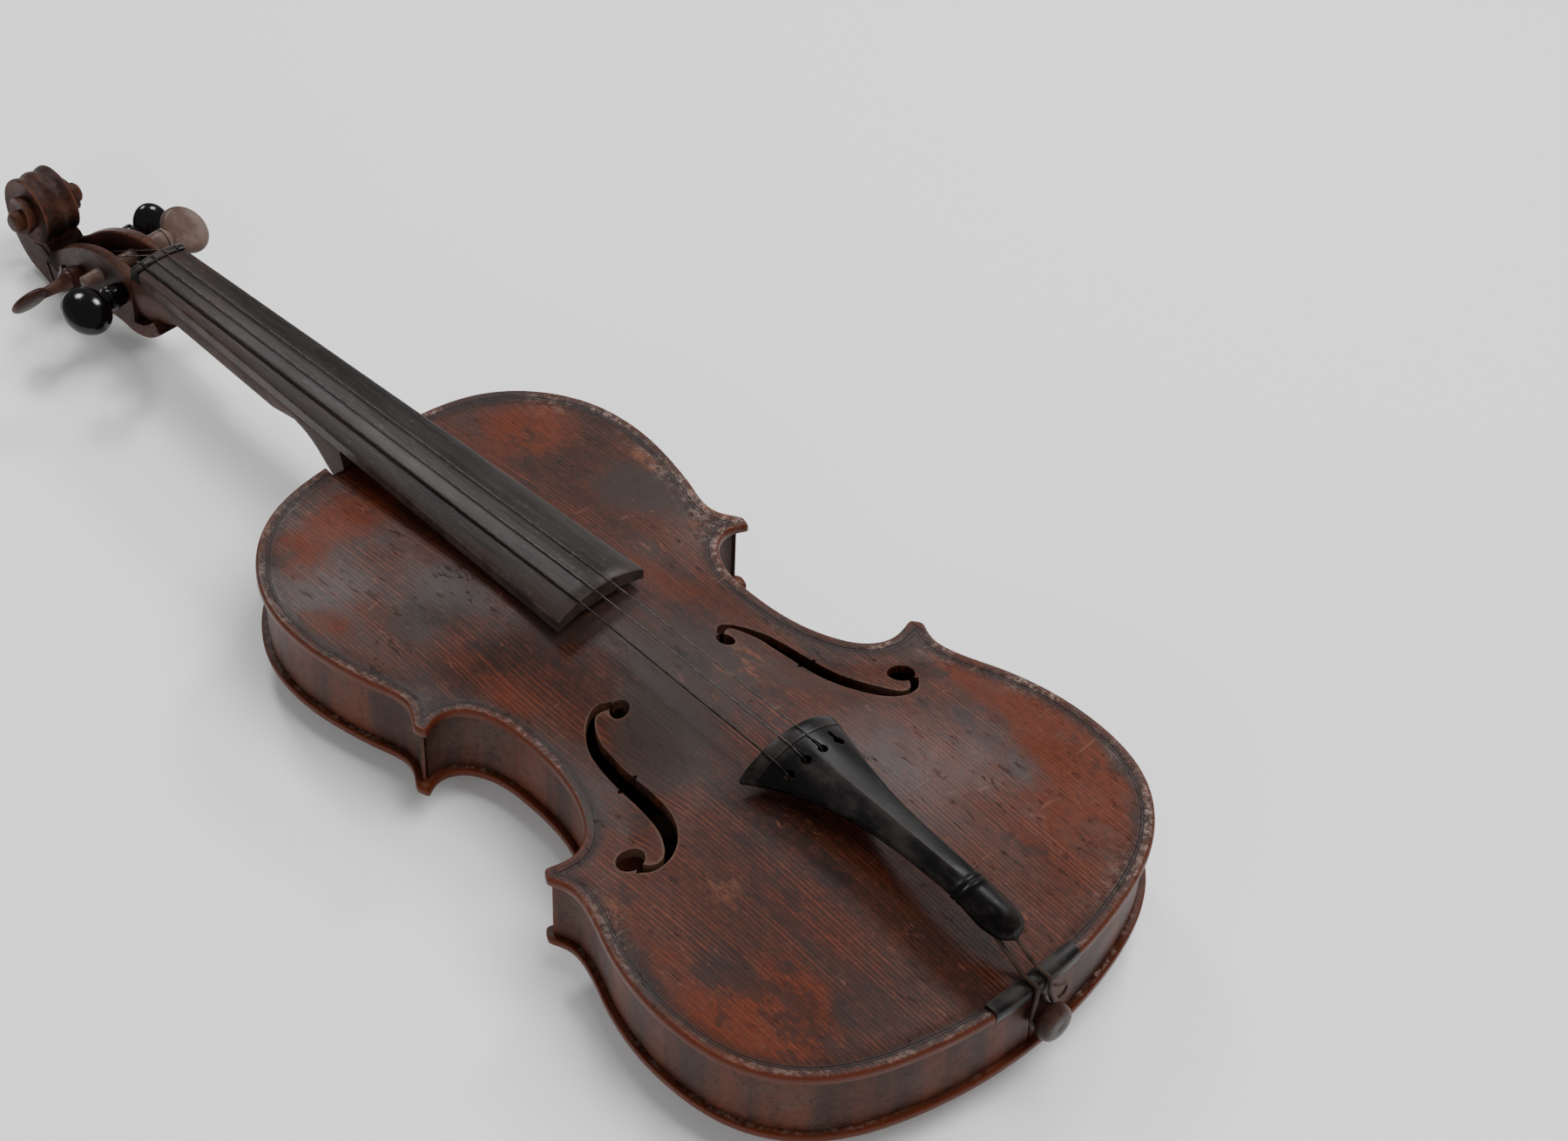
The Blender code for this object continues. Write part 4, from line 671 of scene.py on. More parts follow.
# %% Outline and arching
LOWER_BOUT = [(0, 0, 0), (50, 7.0, 16), (88.5, 28.6, 48), (103.2, 74, 90), (97.6, 108.4, 108),
              (89.0, 134.5, 97), (92.2, 146.5, 62)]
WAIST = [(89.2, 151, 198), (75, 149.5, 160), (62.6, 162.5, 116), (55.6, 198, 90),
         (60.3, 222.5, 58), (70.5, 229.3, 4), (79.2, 226.2, -32)]
UPPER_BOUT = [(81, 231.5, 122), (75.2, 243.5, 93), (79.1, 260.5, 76), (84.3, 294, 90),
              (76.1, 327.8, 120.5), (52.2, 351, 153), (14, 358.8, 176), (0, 359.2, 180)]
LOWER, MIDDLE, UPPER = walk(LOWER_BOUT), walk(WAIST), walk(UPPER_BOUT)
BUTTON_HALF, BUTTON_RISE = 10.8, 12.5
ARCH_HEIGHT, ARCH_MARGIN = 14.5, 4.5
HOLLOW_HEIGHT, HOLLOW_MARGIN = 15.2, 9.5
RIM_ROWS = (1.7, 2.4, 3.2, 3.8, 4.4, 5.0, 5.6, 6.4, 7.6, 9.2, 11.4)
EDGE = [(1.2, 0.0), (0.5, 0.08), (0.12, 0.45), (0.0, 1.1), (0.0, 2.1), (0.13, 2.85), (0.45, 3.35),
        (0.8, 3.63)]


def plate_loop(button=False):
    """Closed outline of a plate, with the neck's button on the back."""
    half = LOWER + MIDDLE + UPPER[:-1]
    if button:
        half = [p for p in half if p[1] < 320 or p[0] > BUTTON_HALF + 1.0]
        half.append((BUTTON_HALF, BODY_LENGTH - 0.2))
        for i in range(10):
            turn = math.radians(9 * i)
            half.append((BUTTON_HALF * math.cos(turn),
                         BODY_LENGTH + BUTTON_RISE - BUTTON_HALF + BUTTON_HALF * math.sin(turn)))
        half.append((0.0, BODY_LENGTH + BUTTON_RISE))
    else:
        half.append((0.0, BODY_LENGTH))
    return softened(even(half + [(-x, y) for x, y in reversed(half[1:-1])], 0.7), 5)


def arch_rise(x, y, height, margin):
    """Rise of the arch above its flat border."""
    lower, upper = np.array(LOWER), np.array(UPPER)
    half = np.full(len(x), 206.4)
    low, high = y <= lower[-1, 1], y >= upper[0, 1]
    half[low] = np.interp(y[low], lower[:, 1], lower[:, 0])
    half[high] = np.interp(y[high], upper[:, 1], upper[:, 0])
    waist = 50.0 + 6.0 * np.minimum(np.abs(y - 190.0) / 38.0, 4.0) ** 4 - (margin - ARCH_MARGIN)
    room = np.maximum(0.5, -6.0 * np.logaddexp(-waist / 6.0, -(half - margin) / 6.0))
    along = np.minimum(np.abs(y - BODY_LENGTH / 2) / (BODY_LENGTH / 2 - margin), 1.0)
    across = np.minimum(np.abs(x) / room, 1.0)
    return height * (1 - along ** 2.2) ** 1.4 * (1 - across ** 2) ** 1.7


def rim_swell(d):
    """The raised rim and the channel beside it, by distance from the edge."""
    return 0.1 * np.exp(-((d - 1.8) / 1.0) ** 2) - 0.38 * np.exp(-((d - 5.4) / 2.4) ** 2)


def edge_distance(points, loop):
    """How far each point lies from the outline."""
    tree = search_tree([(x, y, 0.0) for x, y in even([tuple(p) for p in loop], 0.3)])
    return np.array([tree.find((x, y, 0.0))[2] for x, y in points])


def filled(loop, inner, height):
    """A skin over a closed loop and the points inside it, at the given height."""
    flat = np.vstack([loop, inner])
    count = len(loop)
    edges = [(i, (i + 1) % count) for i in range(count)]
    found, _, faces, *_ = delaunay_2d_cdt([Vector(p) for p in flat], edges, [list(range(count))], 1, 1e-7)
    at = np.array([tuple(p) for p in found])
    return [tuple(p) for p in np.column_stack([at, height(at)])], [tuple(f) for f in faces]


def inner_points(loop, rows, spacing, start):
    """Rows that follow the edge, then an even grid."""
    found = []
    for d in rows:
        row = inset(loop, d)[::2]
        found.append(row[edge_distance(row, loop) > d - 0.06])
    grid = [(x + (spacing / 2) * (r % 2), r * spacing * 0.87) for r in range(1, int(375 / spacing / 0.87))
            for x in np.arange(-102, 103, spacing)]
    grid = np.array([p for p in grid if within(p, loop[::3])])
    found.append(grid[edge_distance(grid, loop) > start])
    return np.vstack(found)


def within(point, loop):
    """Whether a point lies inside a closed loop."""
    x, y = point
    x0, y0 = loop[:, 0], loop[:, 1]
    x1, y1 = np.roll(x0, -1), np.roll(y0, -1)
    crossing = (y0 > y) != (y1 > y)
    reach = x0 + (y - y0) / np.where(y1 == y0, 1e-9, y1 - y0) * (x1 - x0)
    return bool(np.count_nonzero(crossing & (x < reach)) % 2)


def plate_shape(loop):
    """A carved plate: rounded rim, channel and arch outside, hollow inside."""
    def outside(at):
        d = edge_distance(at, loop)
        return PLATE_EDGE + rim_swell(d) + arch_rise(at[:, 0], at[:, 1], ARCH_HEIGHT, ARCH_MARGIN)

    def inside(at):
        return arch_rise(at[:, 0], at[:, 1], HOLLOW_HEIGHT, HOLLOW_MARGIN)

    rings = [[(x, y, z) for x, y in inset(loop, d)] for d, z in EDGE]
    top = inset(loop, 1.2)
    rings.append([tuple(p) for p in np.column_stack([top, outside(top)])])
    upper = filled(top, inner_points(loop, RIM_ROWS, 3.4, 13.5), outside)
    lower = filled(top, inner_points(loop, (5.0, HOLLOW_MARGIN), 8.0, 14.0), inside)
    return joined(lofted(rings, False), upper, lower)


belly_loop = plate_loop()
back_loop = plate_loop(True)
print("outline points:", len(belly_loop), len(back_loop))

# %% [markdown]
# ## F holes
# Each f hole is two round eyes joined by a curved stem, with a nick on both sides at the bridge line. A maker
# drills the eyes and saws the stem, so three cutters and two nicks open the belly here too.

# %% F holes
UPPER_EYE, LOWER_EYE = (25.8, 182.8, 3.6), (66.0, 132.4, 5.2)
F_STEM = [(26.2, 186.3, 2.6), (30.2, 189.1, 3.2), (33.8, 188.7, 2.6), (37.4, 185.2, 3.6),
          (40.7, 179.2, 4.8), (42.2, 172.7, 5.6), (43.1, 166.5, 5.9), (43.7, 160, 6.2),
          (44.3, 152, 6.6), (45.3, 145, 6.8), (46.9, 138, 6.8), (49.3, 131.6, 6.2),
          (52.4, 126.9, 5.0), (56, 123.6, 3.2), (60, 122.4, 2.0), (64, 123.6, 2.8), (67.3, 127.6, 4.0)]


def stem_sides(side):
    """Both sides of an f hole's stem as one closed loop."""
    line = through(F_STEM, 5)
    along = np.gradient(line[:, :2], axis=0)
    along /= np.linalg.norm(along, axis=1)[:, None]
    across = np.stack([-along[:, 1], along[:, 0]], 1) * line[:, 2:3] / 2
    loop = np.vstack([line[:, :2] + across, (line[:, :2] - across)[::-1]])
    loop[:, 0] *= side
    return loop


def f_hole_cutters(side):
    """Eyes, stem and nicks as upright cutters."""
    cutters = [post_shape(x * side, y, r, -30, 50) for x, y, r in (UPPER_EYE, LOWER_EYE)]
    loop = stem_sides(side)
    cutters.append(lofted([[(x, y, z) for x, y in loop] for z in (-30.0, 50.0)]))
    for x in (40.2, 47.4):
        cutters.append(post_shape(x * side, 158.6, 1.0, -30, 50, 4))
    return cutters


# Each stroke is (x, y, width, height, strength) in millimetres on the belly.
WARM = [(-34, 330, 32, 15, 1.0), (52, 322, 28, 22, 1.0), (-74, 296, 10, 20, 0.4), (-78, 52, 24, 22, 1.0),
        (-90, 84, 12, 22, 0.5), (66, 44, 30, 24, 0.8), (86, 84, 13, 34, 1.0), (80, 122, 16, 12, 0.5),
        (-50, 225, 12, 20, 0.5), (30, 215, 12, 22, 0.5), (0, 92, 10, 34, 0.3), (-66, 290, 16, 12, 0.3)]
RUBBED = [(58, 272, 22, 20, 1.0), (-41, 267, 24, 22, 0.8), (-26, 162, 20, 26, 1.0), (-64, 170, 12, 26, 0.9),
          (10, 182, 26, 34, 0.8), (-24, 102, 24, 22, 0.4), (60, 180, 12, 26, 0.6), (-8, 225, 24, 16, 0.6),
          (75, 245, 10, 10, 0.8), (-70, 330, 14, 10, 0.6), (44, 74, 14, 26, 0.2)]
BARE = [(50, 18, 18, 8, 0.7), (22, 168, 18, 14, 0.9), (-52, 100, 16, 12, 0.7), (97, 50, 5, 22, 0.5),
        (-86, 118, 7, 14, 0.8), (72, 240, 14, 12, 1.0), (76, 270, 8, 22, 1.0), (-20, 190, 16, 20, 0.6),
        (66, 326, 12, 12, 0.9), (86, 134, 8, 8, 1.0), (92, 100, 6, 14, 0.4), (-60, 348, 20, 6, 0.7)]
POLISH = [(36, 92, 26, 34, 1.0), (-62, 314, 20, 26, 1.0), (60, 300, 20, 20, 0.4)]


def stroked(x, y, strokes):
    """How strongly soft round strokes cover a place on the belly."""
    return min(1.0, sum(k * math.exp(-((x - a) / w) ** 2 - ((y - b) / h) ** 2)
                        for a, b, w, h, k in strokes))


def make_belly():
    """The belly with its f holes and its notch for the saddle."""
    belly = solid("belly", plate_shape(belly_loop))
    holes = []
    for side in (-1, 1):
        for shape in f_hole_cutters(side):
            cut(belly, "f_cutter", shape)
        holes += [tuple(p) for p in stem_sides(side)]
        for x, y, r in (UPPER_EYE, LOWER_EYE):
            holes += [(x * side + r * math.cos(a), y + r * math.sin(a)) for a in np.linspace(0, 6.2, 30)]
    cut(belly, "notch", box_shape((-20.6, -9, -9), (20.6, 6.9, 20)))
    cut(belly, "notch", box_shape((-20.0, 352.6, -9), (20.0, 375, 20)))
    points = [(v.co.x / MM, v.co.y / MM) for v in belly.data.vertices]
    rim = edge_distance(points, belly_loop)
    tree = search_tree([(x, y, 0.0) for x, y in holes])
    hole = [tree.find((x, y, 0.0))[2] for x, y in points]
    for key, values in (("rim", rim), ("hole", hole)):
        belly.data.attributes.new(key, "FLOAT", "POINT").data.foreach_set("value", list(values))
    strokes = {"warm": WARM, "rubbed": RUBBED, "bare": BARE, "polish": POLISH}
    marks = {key: (lambda x, y, z, rule=rule: stroked(x, y, rule)) for key, rule in strokes.items()}
    return dress(belly, BELLY, "belly_varnish", nodes=["belly_plate"], smooth=35.0, marks=marks)


belly = make_belly()
print("belly:", len(belly.data.polygons), "faces")

# %% [markdown]
# ## Back
# The back mirrors the belly below the ribs and carries a small round button under the heel of the neck.

# %% Back
def make_back():
    """The maple back, arched downwards."""
    vertices, faces = plate_shape(back_loop)
    turned_over = [(x, y, BACK_LEVEL - z) for x, y, z in vertices]
    back = solid("back", (turned_over, faces))
    rim = edge_distance([(v.co.x / MM, v.co.y / MM) for v in back.data.vertices], back_loop)
    back.data.attributes.new("rim", "FLOAT", "POINT").data.foreach_set("value", list(rim))
    return dress(back, BACK, "maple_varnish", nodes=["back_plate"], smooth=35.0)


back = make_back()
print("back:", len(back.data.polygons), "faces")

# %% [markdown]
# ## Ribs
# Each rib is a millimetre of maple bent round the mould. It stands a little inside the plates' edges.

# %% Ribs
RIB_FACES = (2.8, 3.9)


def nearest(point, points):
    """Distance from a point to a walk."""
    return min(math.hypot(point[0] - x, point[1] - y) for x, y in points)


def moved_in(points, distance):
    """An open walk moved to its left."""
    p = np.array(points)
    along = np.gradient(p, axis=0)
    along /= np.linalg.norm(along, axis=1)[:, None]
    return p + distance * np.stack([-along[:, 1], along[:, 0]], 1)


def rib_shape(points, keep, side):
    """A bent strip between the plates."""
    faces = [(a, b) for a, b in zip(*(moved_in(points, d) for d in RIB_FACES)) if keep(a) and keep(b)]
    high, low = -0.1, -RIB_HEIGHT - 0.5
    return lofted([[(x0 * side, y0, high), (x0 * side, y0, low), (x1 * side, y1, low), (x1 * side, y1, high)]
                   for (x0, y0), (x1, y1) in faces])


for bout, points, keep in (("lower", LOWER, lambda p: p[0] > 0.05 and nearest(p, MIDDLE) > 2.8),
                           ("middle", MIDDLE, lambda p: nearest(p, LOWER) > 4.2 and nearest(p, UPPER) > 4.2),
                           ("upper", UPPER, lambda p: p[0] > 15.0 and nearest(p, MIDDLE) > 2.8)):
    for side, label in ((-1, "bass"), (1, "treble")):
        name = f"rib_{bout}_{label}"
        piece("bent_" + name, rib_shape(points, keep, side), RIBS, "maple_varnish", nodes=[name], smooth=30.0)
print("six ribs bent")

# %% [markdown]
# ## Neck
# The neck is lofted: flat on top for the fingerboard, round below for the hand, and deep at the heel, which
# is let into the body and backed by the button.

# %% Neck
def glue_plane(y):
    """Level of the fingerboard's glued face."""
    return PLATE_EDGE + 9.6 - 0.033 * (y - BODY_LENGTH)


def neck_width(y):
    """Width of neck and fingerboard."""
    return 2 * NUT_HALF + (41.4 - 2 * NUT_HALF) * (NUT_Y - y) / BOARD_LENGTH


def neck_ring(y, bottom, bottom_width, steps=21):
    """Flat-topped, round-bellied section of the neck."""
    top, half = glue_plane(y), neck_width(y) / 2
    ring = [(half - 0.3, y, top), (-half + 0.3, y, top)]
    for i in range(steps):
        angle = math.pi * i / (steps - 1)
        x, drop = -math.cos(angle), math.sin(angle) ** 0.75
        side = half + (bottom_width / 2 - half) * drop if bottom_width else half
        ring.append((x * side, y, top - 1.2 - drop * (top - 1.2 - bottom)))
    return ring


def neck_shape():
    """Root, heel, shaft and chin."""
    rings, floor, root = [], BACK_LEVEL + 0.3, BODY_LENGTH - 6.3
    heel = through([(0, 0), (6.3, 0), (12, 0), (15, 2.4), (18, 7), (22, 13.6), (27, 19.4), (34, 23.6)], 4)
    for along, rise in heel:
        rings.append(neck_ring(root + along, floor + max(rise, 0.0), 20.0))
    for along, depth in through([(40, 15.2), (70, 14.5), (103.3, 13.6), (111.3, 16.2), (119.3, 22.6),
                                 (128, 28.6), (134, 29.4)], 4):
        y = BODY_LENGTH + along
        rings.append(neck_ring(y, glue_plane(y) - depth, neck_width(y) * 0.92 if along > 108 else 0))
    return lofted(rings)


# %% [markdown]
# ## Pegbox and scroll
# The head is cut from the same maple. Its back carries two flutes with a spine between them, which run from
# the chin over the top of the scroll and into the throat. The volute winds in while it grows wider, ending in
# the eyes. One section is swept along that whole path, which is how a carver thinks of it.

# %% Pegbox and scroll
CHIN_AND_BACK = [(-12, -19.4), (-8, -23.2), (-2, -27.0), (8, -30.0), (18, -29.9), (32, -32.3), (48, -37.4),
                 (62, -43.6), (70, -46.8)]
CHEEK_TOP = [(6.2, -0.8), (12, -0.6), (20, -0.9), (28, -1.9), (36, -4.1), (44, -7.7), (52, -12.3),
             (60, -18.4), (66, -23.6), (71.5, -27.5)]
CHEEK_WALL = 4.8
EYE = (84.2, -15.4)
VOLUTE = [(-96, 30.4), (-80, 25.7), (-60, 21.6), (-30, 19.2), (0, 18.3), (30, 17.4), (60, 16.4), (90, 15.2),
          (135, 14.2), (180, 13.6), (225, 13.2), (270, 12.6), (360, 10.6), (450, 8.8), (540, 7.4), (630, 6.3),
          (720, 5.3), (810, 4.6), (900, 4.2)]
VOLUTE_WIDTH = [(-96, 8.6), (0, 8.0), (90, 7.8), (180, 8.2), (270, 9.2), (360, 10.4), (450, 11.8),
                (540, 13.2), (630, 14.4), (720, 15.3), (810, 16.0), (900, 16.4)]


def head_place(along, above):
    """Side-view place of a head point."""
    y = NUT_Y + along
    return y, glue_plane(y) + above


def cheek_half(along):
    """Half width of the pegbox."""
    return (24.6 + (18.5 - 24.6) * clamp(along / 66.0)) / 2


def head_stations():
    """Stations of the sweep: along, above, half width, thickness, flute depth and undercut."""
    stations = []
    back = through(CHIN_AND_BACK, 5)
    for along, above in back:
        deep = 6.0 + 9.0 * max(0.0, (along - 52) / 18.0)
        flute = 1.5 * clamp((along + 12) / 20.0)
        stations.append((along, above, cheek_half(along) + 0.05, deep, flute, 0.0))
    angles = np.arange(-96, 901, 7)
    radii = read_off(angles, VOLUTE)
    radii = np.convolve(np.pad(radii, 3, "edge"), np.ones(7) / 7, "valid")
    for angle, radius in zip(angles, radii):
        width = read_off(angle, VOLUTE_WIDTH)
        inner = read_off(angle + 360, VOLUTE) if angle < 540 else 0.5
        under = 1.1 * clamp((angle + 60) / 90.0)
        turn = math.radians(angle)
        stations.append((EYE[0] + radius * math.cos(turn), EYE[1] + radius * math.sin(turn), width,
                         radius - inner + 1.2, 0.11 * width, under))
    return np.array(stations)


def fluted_profile(width, thickness, flute, under):
    """Half-turn section: fluted outside, hollowed sides. Points are (x, depth)."""
    outer = [(u * width, flute * math.sin(math.pi * min(abs(u) / 0.88, 1.0)) ** 2)
             for u in np.linspace(-0.9, 0.9, 19)]
    side = [(width - 0.25, 0.18), (width, 0.75), (width - under * 0.55, 0.25 * thickness + 0.8),
            (width - under, 0.55 * thickness + 0.5), (width - under * 0.9, 0.8 * thickness),
            (width - under * 0.7, thickness)]
    return outer + side + [(-x, depth) for x, depth in reversed(side)]


def sweep_shape():
    """The fluted back and the volute in one sweep."""
    stations = head_stations()
    flow = np.gradient(stations[:, :2], axis=0)
    flow /= np.linalg.norm(flow, axis=1)[:, None]
    return lofted([[(x, *head_place(along - fz * depth, above + fy * depth))
                    for x, depth in fluted_profile(width, thick, flute, under)]
                   for (along, above, width, thick, flute, under), (fy, fz) in zip(stations, flow)])


def cheek_shape(side):
    """One wall of the pegbox with a chamfered top edge."""
    back = through(CHIN_AND_BACK, 6)
    top = through(CHEEK_TOP, 6)
    rings = []
    for along in np.linspace(6.4, 71.0, 34):
        y, high = head_place(along, read_off(along, top))
        _, low = head_place(along, read_off(along, back) + 1.6)
        out = cheek_half(along)
        inner = out - CHEEK_WALL
        rings.append([(side * x, y, z) for x, z in (
            (out, low), (out, high - 1.3), (out - 0.35, high - 0.45), (out - 1.1, high), (inner + 0.7, high),
            (inner, high - 0.6), (inner, low))])
    return lofted(rings)


def throat_shape():
    """The solid wood between pegbox and volute."""
    profile = [(66.5, -43.0), (66.5, -31.0), (69.0, -28.0), (72.0, -25.0), (80.0, -22.0), (82.0, -40.0)]
    return lofted([[(x, *head_place(*p)) for p in profile] for x in (-8.0, 8.0)])


def eye_shape():
    """The eyes: a short turned boss through the middle of the volute."""
    y, z = head_place(*EYE)
    turns = np.linspace(0, math.tau, 32)[:-1]
    boss = ((-16.9, 2.2), (-16.7, 3.4), (-15.9, 4.2), (15.9, 4.2), (16.7, 3.4), (16.9, 2.2))
    return lofted([[(x, y + r * math.cos(a), z + r * math.sin(a)) for a in turns] for x, r in boss])


def make_head():
    """Head as one object and the neck shaft as another; the head's edges are marked for wear, and its throat and
    pegbox hollow for painted shade with some dirt.
    """
    edges = [(width, *head_place(along, above)) for along, above, width, *_ in head_stations()]
    for along, above in through(CHEEK_TOP, 6):
        for wall in (0.0, CHEEK_WALL):
            edges.append((cheek_half(along) - wall, *head_place(along, above)))
    tree = search_tree(edges)

    def wear(x, y, z):
        return max(0.0, 1.0 - tree.find((abs(x), y, z))[2] / 1.3)

    # Painted shade with some dirt: strongest in the throat under the scroll and inside the pegbox below the
    # cheeks' tops.
    def shade_and_grime(x, y, z):
        along, above = y - NUT_Y, z - glue_plane(y)
        throat = math.exp(-((along - 70.0) / 7.5) ** 4 - ((above + 23.0) / 9.0) ** 4)
        trough = 1.0 if abs(x) < cheek_half(along) - 4.0 and 5.0 < along < 68.0 else 0.0
        return max(throat, trough * clamp((read_off(along, CHEEK_TOP) - above) / 7.0))

    shape = joined(sweep_shape(), cheek_shape(1), cheek_shape(-1), throat_shape(), eye_shape())
    head = piece("carved_head", shape, HEAD, "head_varnish", nodes=["neck_and_scroll"], smooth=32.0,
                 marks={"wear": wear, "shade_and_grime": shade_and_grime})
    piece("neck_shaft", neck_shape(), NECK, "head_varnish", smooth=50.0)
    return head


head = make_head()
print("head:", len(head.data.polygons), "faces")

# %% [markdown]
# ## Fingerboard and nut
# The board is a long arched bar, hollowed where it runs free above the belly. Fingers and strings have worn
# shallow furrows into it, deepest near the nut. The nut carries one notch for each string.

# %% Fingerboard and nut
PLACES = (-1.5, -0.5, 0.5, 1.5)
NUT_STEP, TAIL_STEP = 5.4, 8.0
STRINGS = {"g": (-1.5, 0.42), "d": (-0.5, 0.26), "a": (0.5, 0.22)}
BOARD_END = NUT_Y - BOARD_LENGTH


def arched_row(half, steps):
    """Even places across a piece, from treble to bass."""
    return [half - 2 * half * i / steps for i in range(steps + 1)]


def hollow_row(half):
    """Even places back across its underside."""
    return [-half + 2 * half * i / 16 for i in range(17)]


def arch_over(x, half, radius=42.0):
    """Rise of the cross arch above the board's edge."""
    return math.sqrt(radius ** 2 - x * x) - math.sqrt(radius ** 2 - half ** 2)


def board_ring(y, side, hollow, worn):
    """Arched section with softened corners."""
    half, bottom, ring = neck_width(y) / 2, glue_plane(y) + 0.3, []
    for x in arched_row(half, 56):
        rub = sum(worn * math.exp(-((x - place * NUT_STEP * half / NUT_HALF) / 0.55) ** 2)
                  for place in PLACES)
        corner = 0.45 * max(0.0, (abs(x) / half - 0.965) / 0.035) ** 2
        ring.append((x, y, bottom + side + arch_over(x, half) - rub - corner))
    return ring + [(x, y, bottom + hollow * min(1.0, (1 - (x / half) ** 2) * 1.25)) for x in hollow_row(half)]


def board_shape():
    """The board from its free end to the nut."""
    rings = [board_ring(BOARD_END, 4.6, 3.2, 0.0)]
    for y in np.linspace(BOARD_END + 0.6, NUT_Y - 0.6, 46):
        free = clamp((BODY_LENGTH - 8.3 - y) / 22.0)
        rings.append(board_ring(y, 5.0, 3.2 * free, 0.02 + 0.07 * clamp((y - 380.0) / 90.0)))
    return lofted(rings)


def board_wear(x, y, z):
    """Wear along the board's long edges and its end."""
    half = neck_width(y) / 2
    return max(0.0, 1.0 - (half - abs(x)) / 1.2, 1.0 - (y - BOARD_END) / 1.2)


def nut_shape():
    """The nut, rounded over towards the pegbox and notched for four strings."""
    rings, level = [], glue_plane(NUT_Y)
    for along, drop in ((0.0, 0.35), (0.5, 0.0), (2.6, 0.0), (4.2, 0.5), (5.2, 1.6)):
        y, ring = NUT_Y + along, []
        for x in arched_row(NUT_HALF, 80):
            notch = sum(0.55 * math.exp(-((x - place * NUT_STEP) / 0.5) ** 4) for place in PLACES)
            ring.append((x, y, level + 6.3 - drop - notch + arch_over(x, NUT_HALF)))
        rings.append(ring + [(-NUT_HALF, y, level - 0.4), (NUT_HALF, y, level - 0.4)])
    return lofted(rings)


def nut_wear(x, y, z):
    """Pale rubbed wood in the notches."""
    return max([math.exp(-((x - place * NUT_STEP) / 0.9) ** 2) for place in PLACES])


board = piece("worn_fingerboard", board_shape(), BOARD, "board_ebony", nodes=["fingerboard"], smooth=35.0,
              marks={"wear": board_wear})
piece("notched_nut", nut_shape(), NUTWOOD, "black_fitting", nodes=["nut"], smooth=35.0,
      marks={"wear": nut_wear})
print("board:", len(board.data.polygons), "faces")

# %% [markdown]
# ## Pegs
# A peg is turned between centres: tip, long taper, collar and neck. Its head is then flattened, and sometimes
# dished, so that thumb and finger can grip it. The lathe work is a spun profile; the head is a pressed ball.

# %% Pegs
# Each peg has its place along and above, its side, the turn of its head and how far out that sits.
PEG_PLACES = {"g": (12.2, -11.0, -1, 200.0, 30.0), "e": (29.4, -12.5, 1, 205.0, 31.5),
              "d": (45.4, -22.4, -1, 300.0, 36.0), "a": (59.0, -29.2, 1, 230.0, 35.0)}
# Width, thickness, depth of the dish and half length of each head.
PEG_HEADS = {"g": (23.0, 13.0, 0.0, 9.8), "e": (23.0, 7.6, 0.3, 9.4),
             "d": (15.5, 5.6, 0.12, 8.5), "a": (19.5, 9.0, 0.0, 8.5)}
PEG_WOOD = {"g": (POLISHED, "black_fitting"), "d": (RED_PEG, "brown_fitting"),
            "a": (POLISHED, "black_fitting"), "e": (GREY_PEG, "grey_fitting")}


def spun(name, profile, steps=48):
    """A turned piece about X, spun from (x, radius) points in millimetres."""
    mesh = bpy.data.meshes.new(name)
    points = [(x * MM, 0.0, r * MM) for x, r in profile]
    mesh.from_pydata(points, [(i, i + 1) for i in range(len(points) - 1)], [])
    obj = placed(name, mesh)
    pick(obj)
    bpy.ops.object.mode_set(mode="EDIT")
    bpy.ops.mesh.select_all(action="SELECT")
    bpy.ops.mesh.spin(steps=steps, angle=math.tau, center=(0, 0, 0), axis=(1, 0, 0))
    bpy.ops.mesh.select_all(action="SELECT")
    bpy.ops.mesh.remove_doubles(threshold=0.000005)
    bpy.ops.mesh.normals_make_consistent(inside=False)
    bpy.ops.object.mode_set(mode="OBJECT")
    return obj


def peg_head(key, head, turn):
    """The thumb piece: a ball pressed flat. The E peg's is dished, and the D peg's slightly."""
    bpy.ops.mesh.primitive_uv_sphere_add(segments=48, ring_count=32, radius=1.0, location=(0, 0, 0))
    grip = bpy.context.object
    wide, thick, hollow, long = PEG_HEADS[key]
    for vertex in grip.data.vertices:
        x, y, z = vertex.co
        spread = math.hypot(x, y)
        dish = hollow * max(0.0, 1.0 - (spread / 0.86) ** 2)
        fuller = (z - math.copysign(dish, z) * min(1.0, abs(z) * 3)) * thick / 2
        vertex.co = Vector((x * long, y * wide / 2, fuller)) * MM
    grip.data.transform(Matrix.Translation((head * MM, 0, 0)) @ Matrix.Rotation(math.radians(turn), 4, "X"))
    return grip


def peg_axis(key):
    """Where a peg's axis crosses the side view."""
    return head_place(*PEG_PLACES[key][:2])


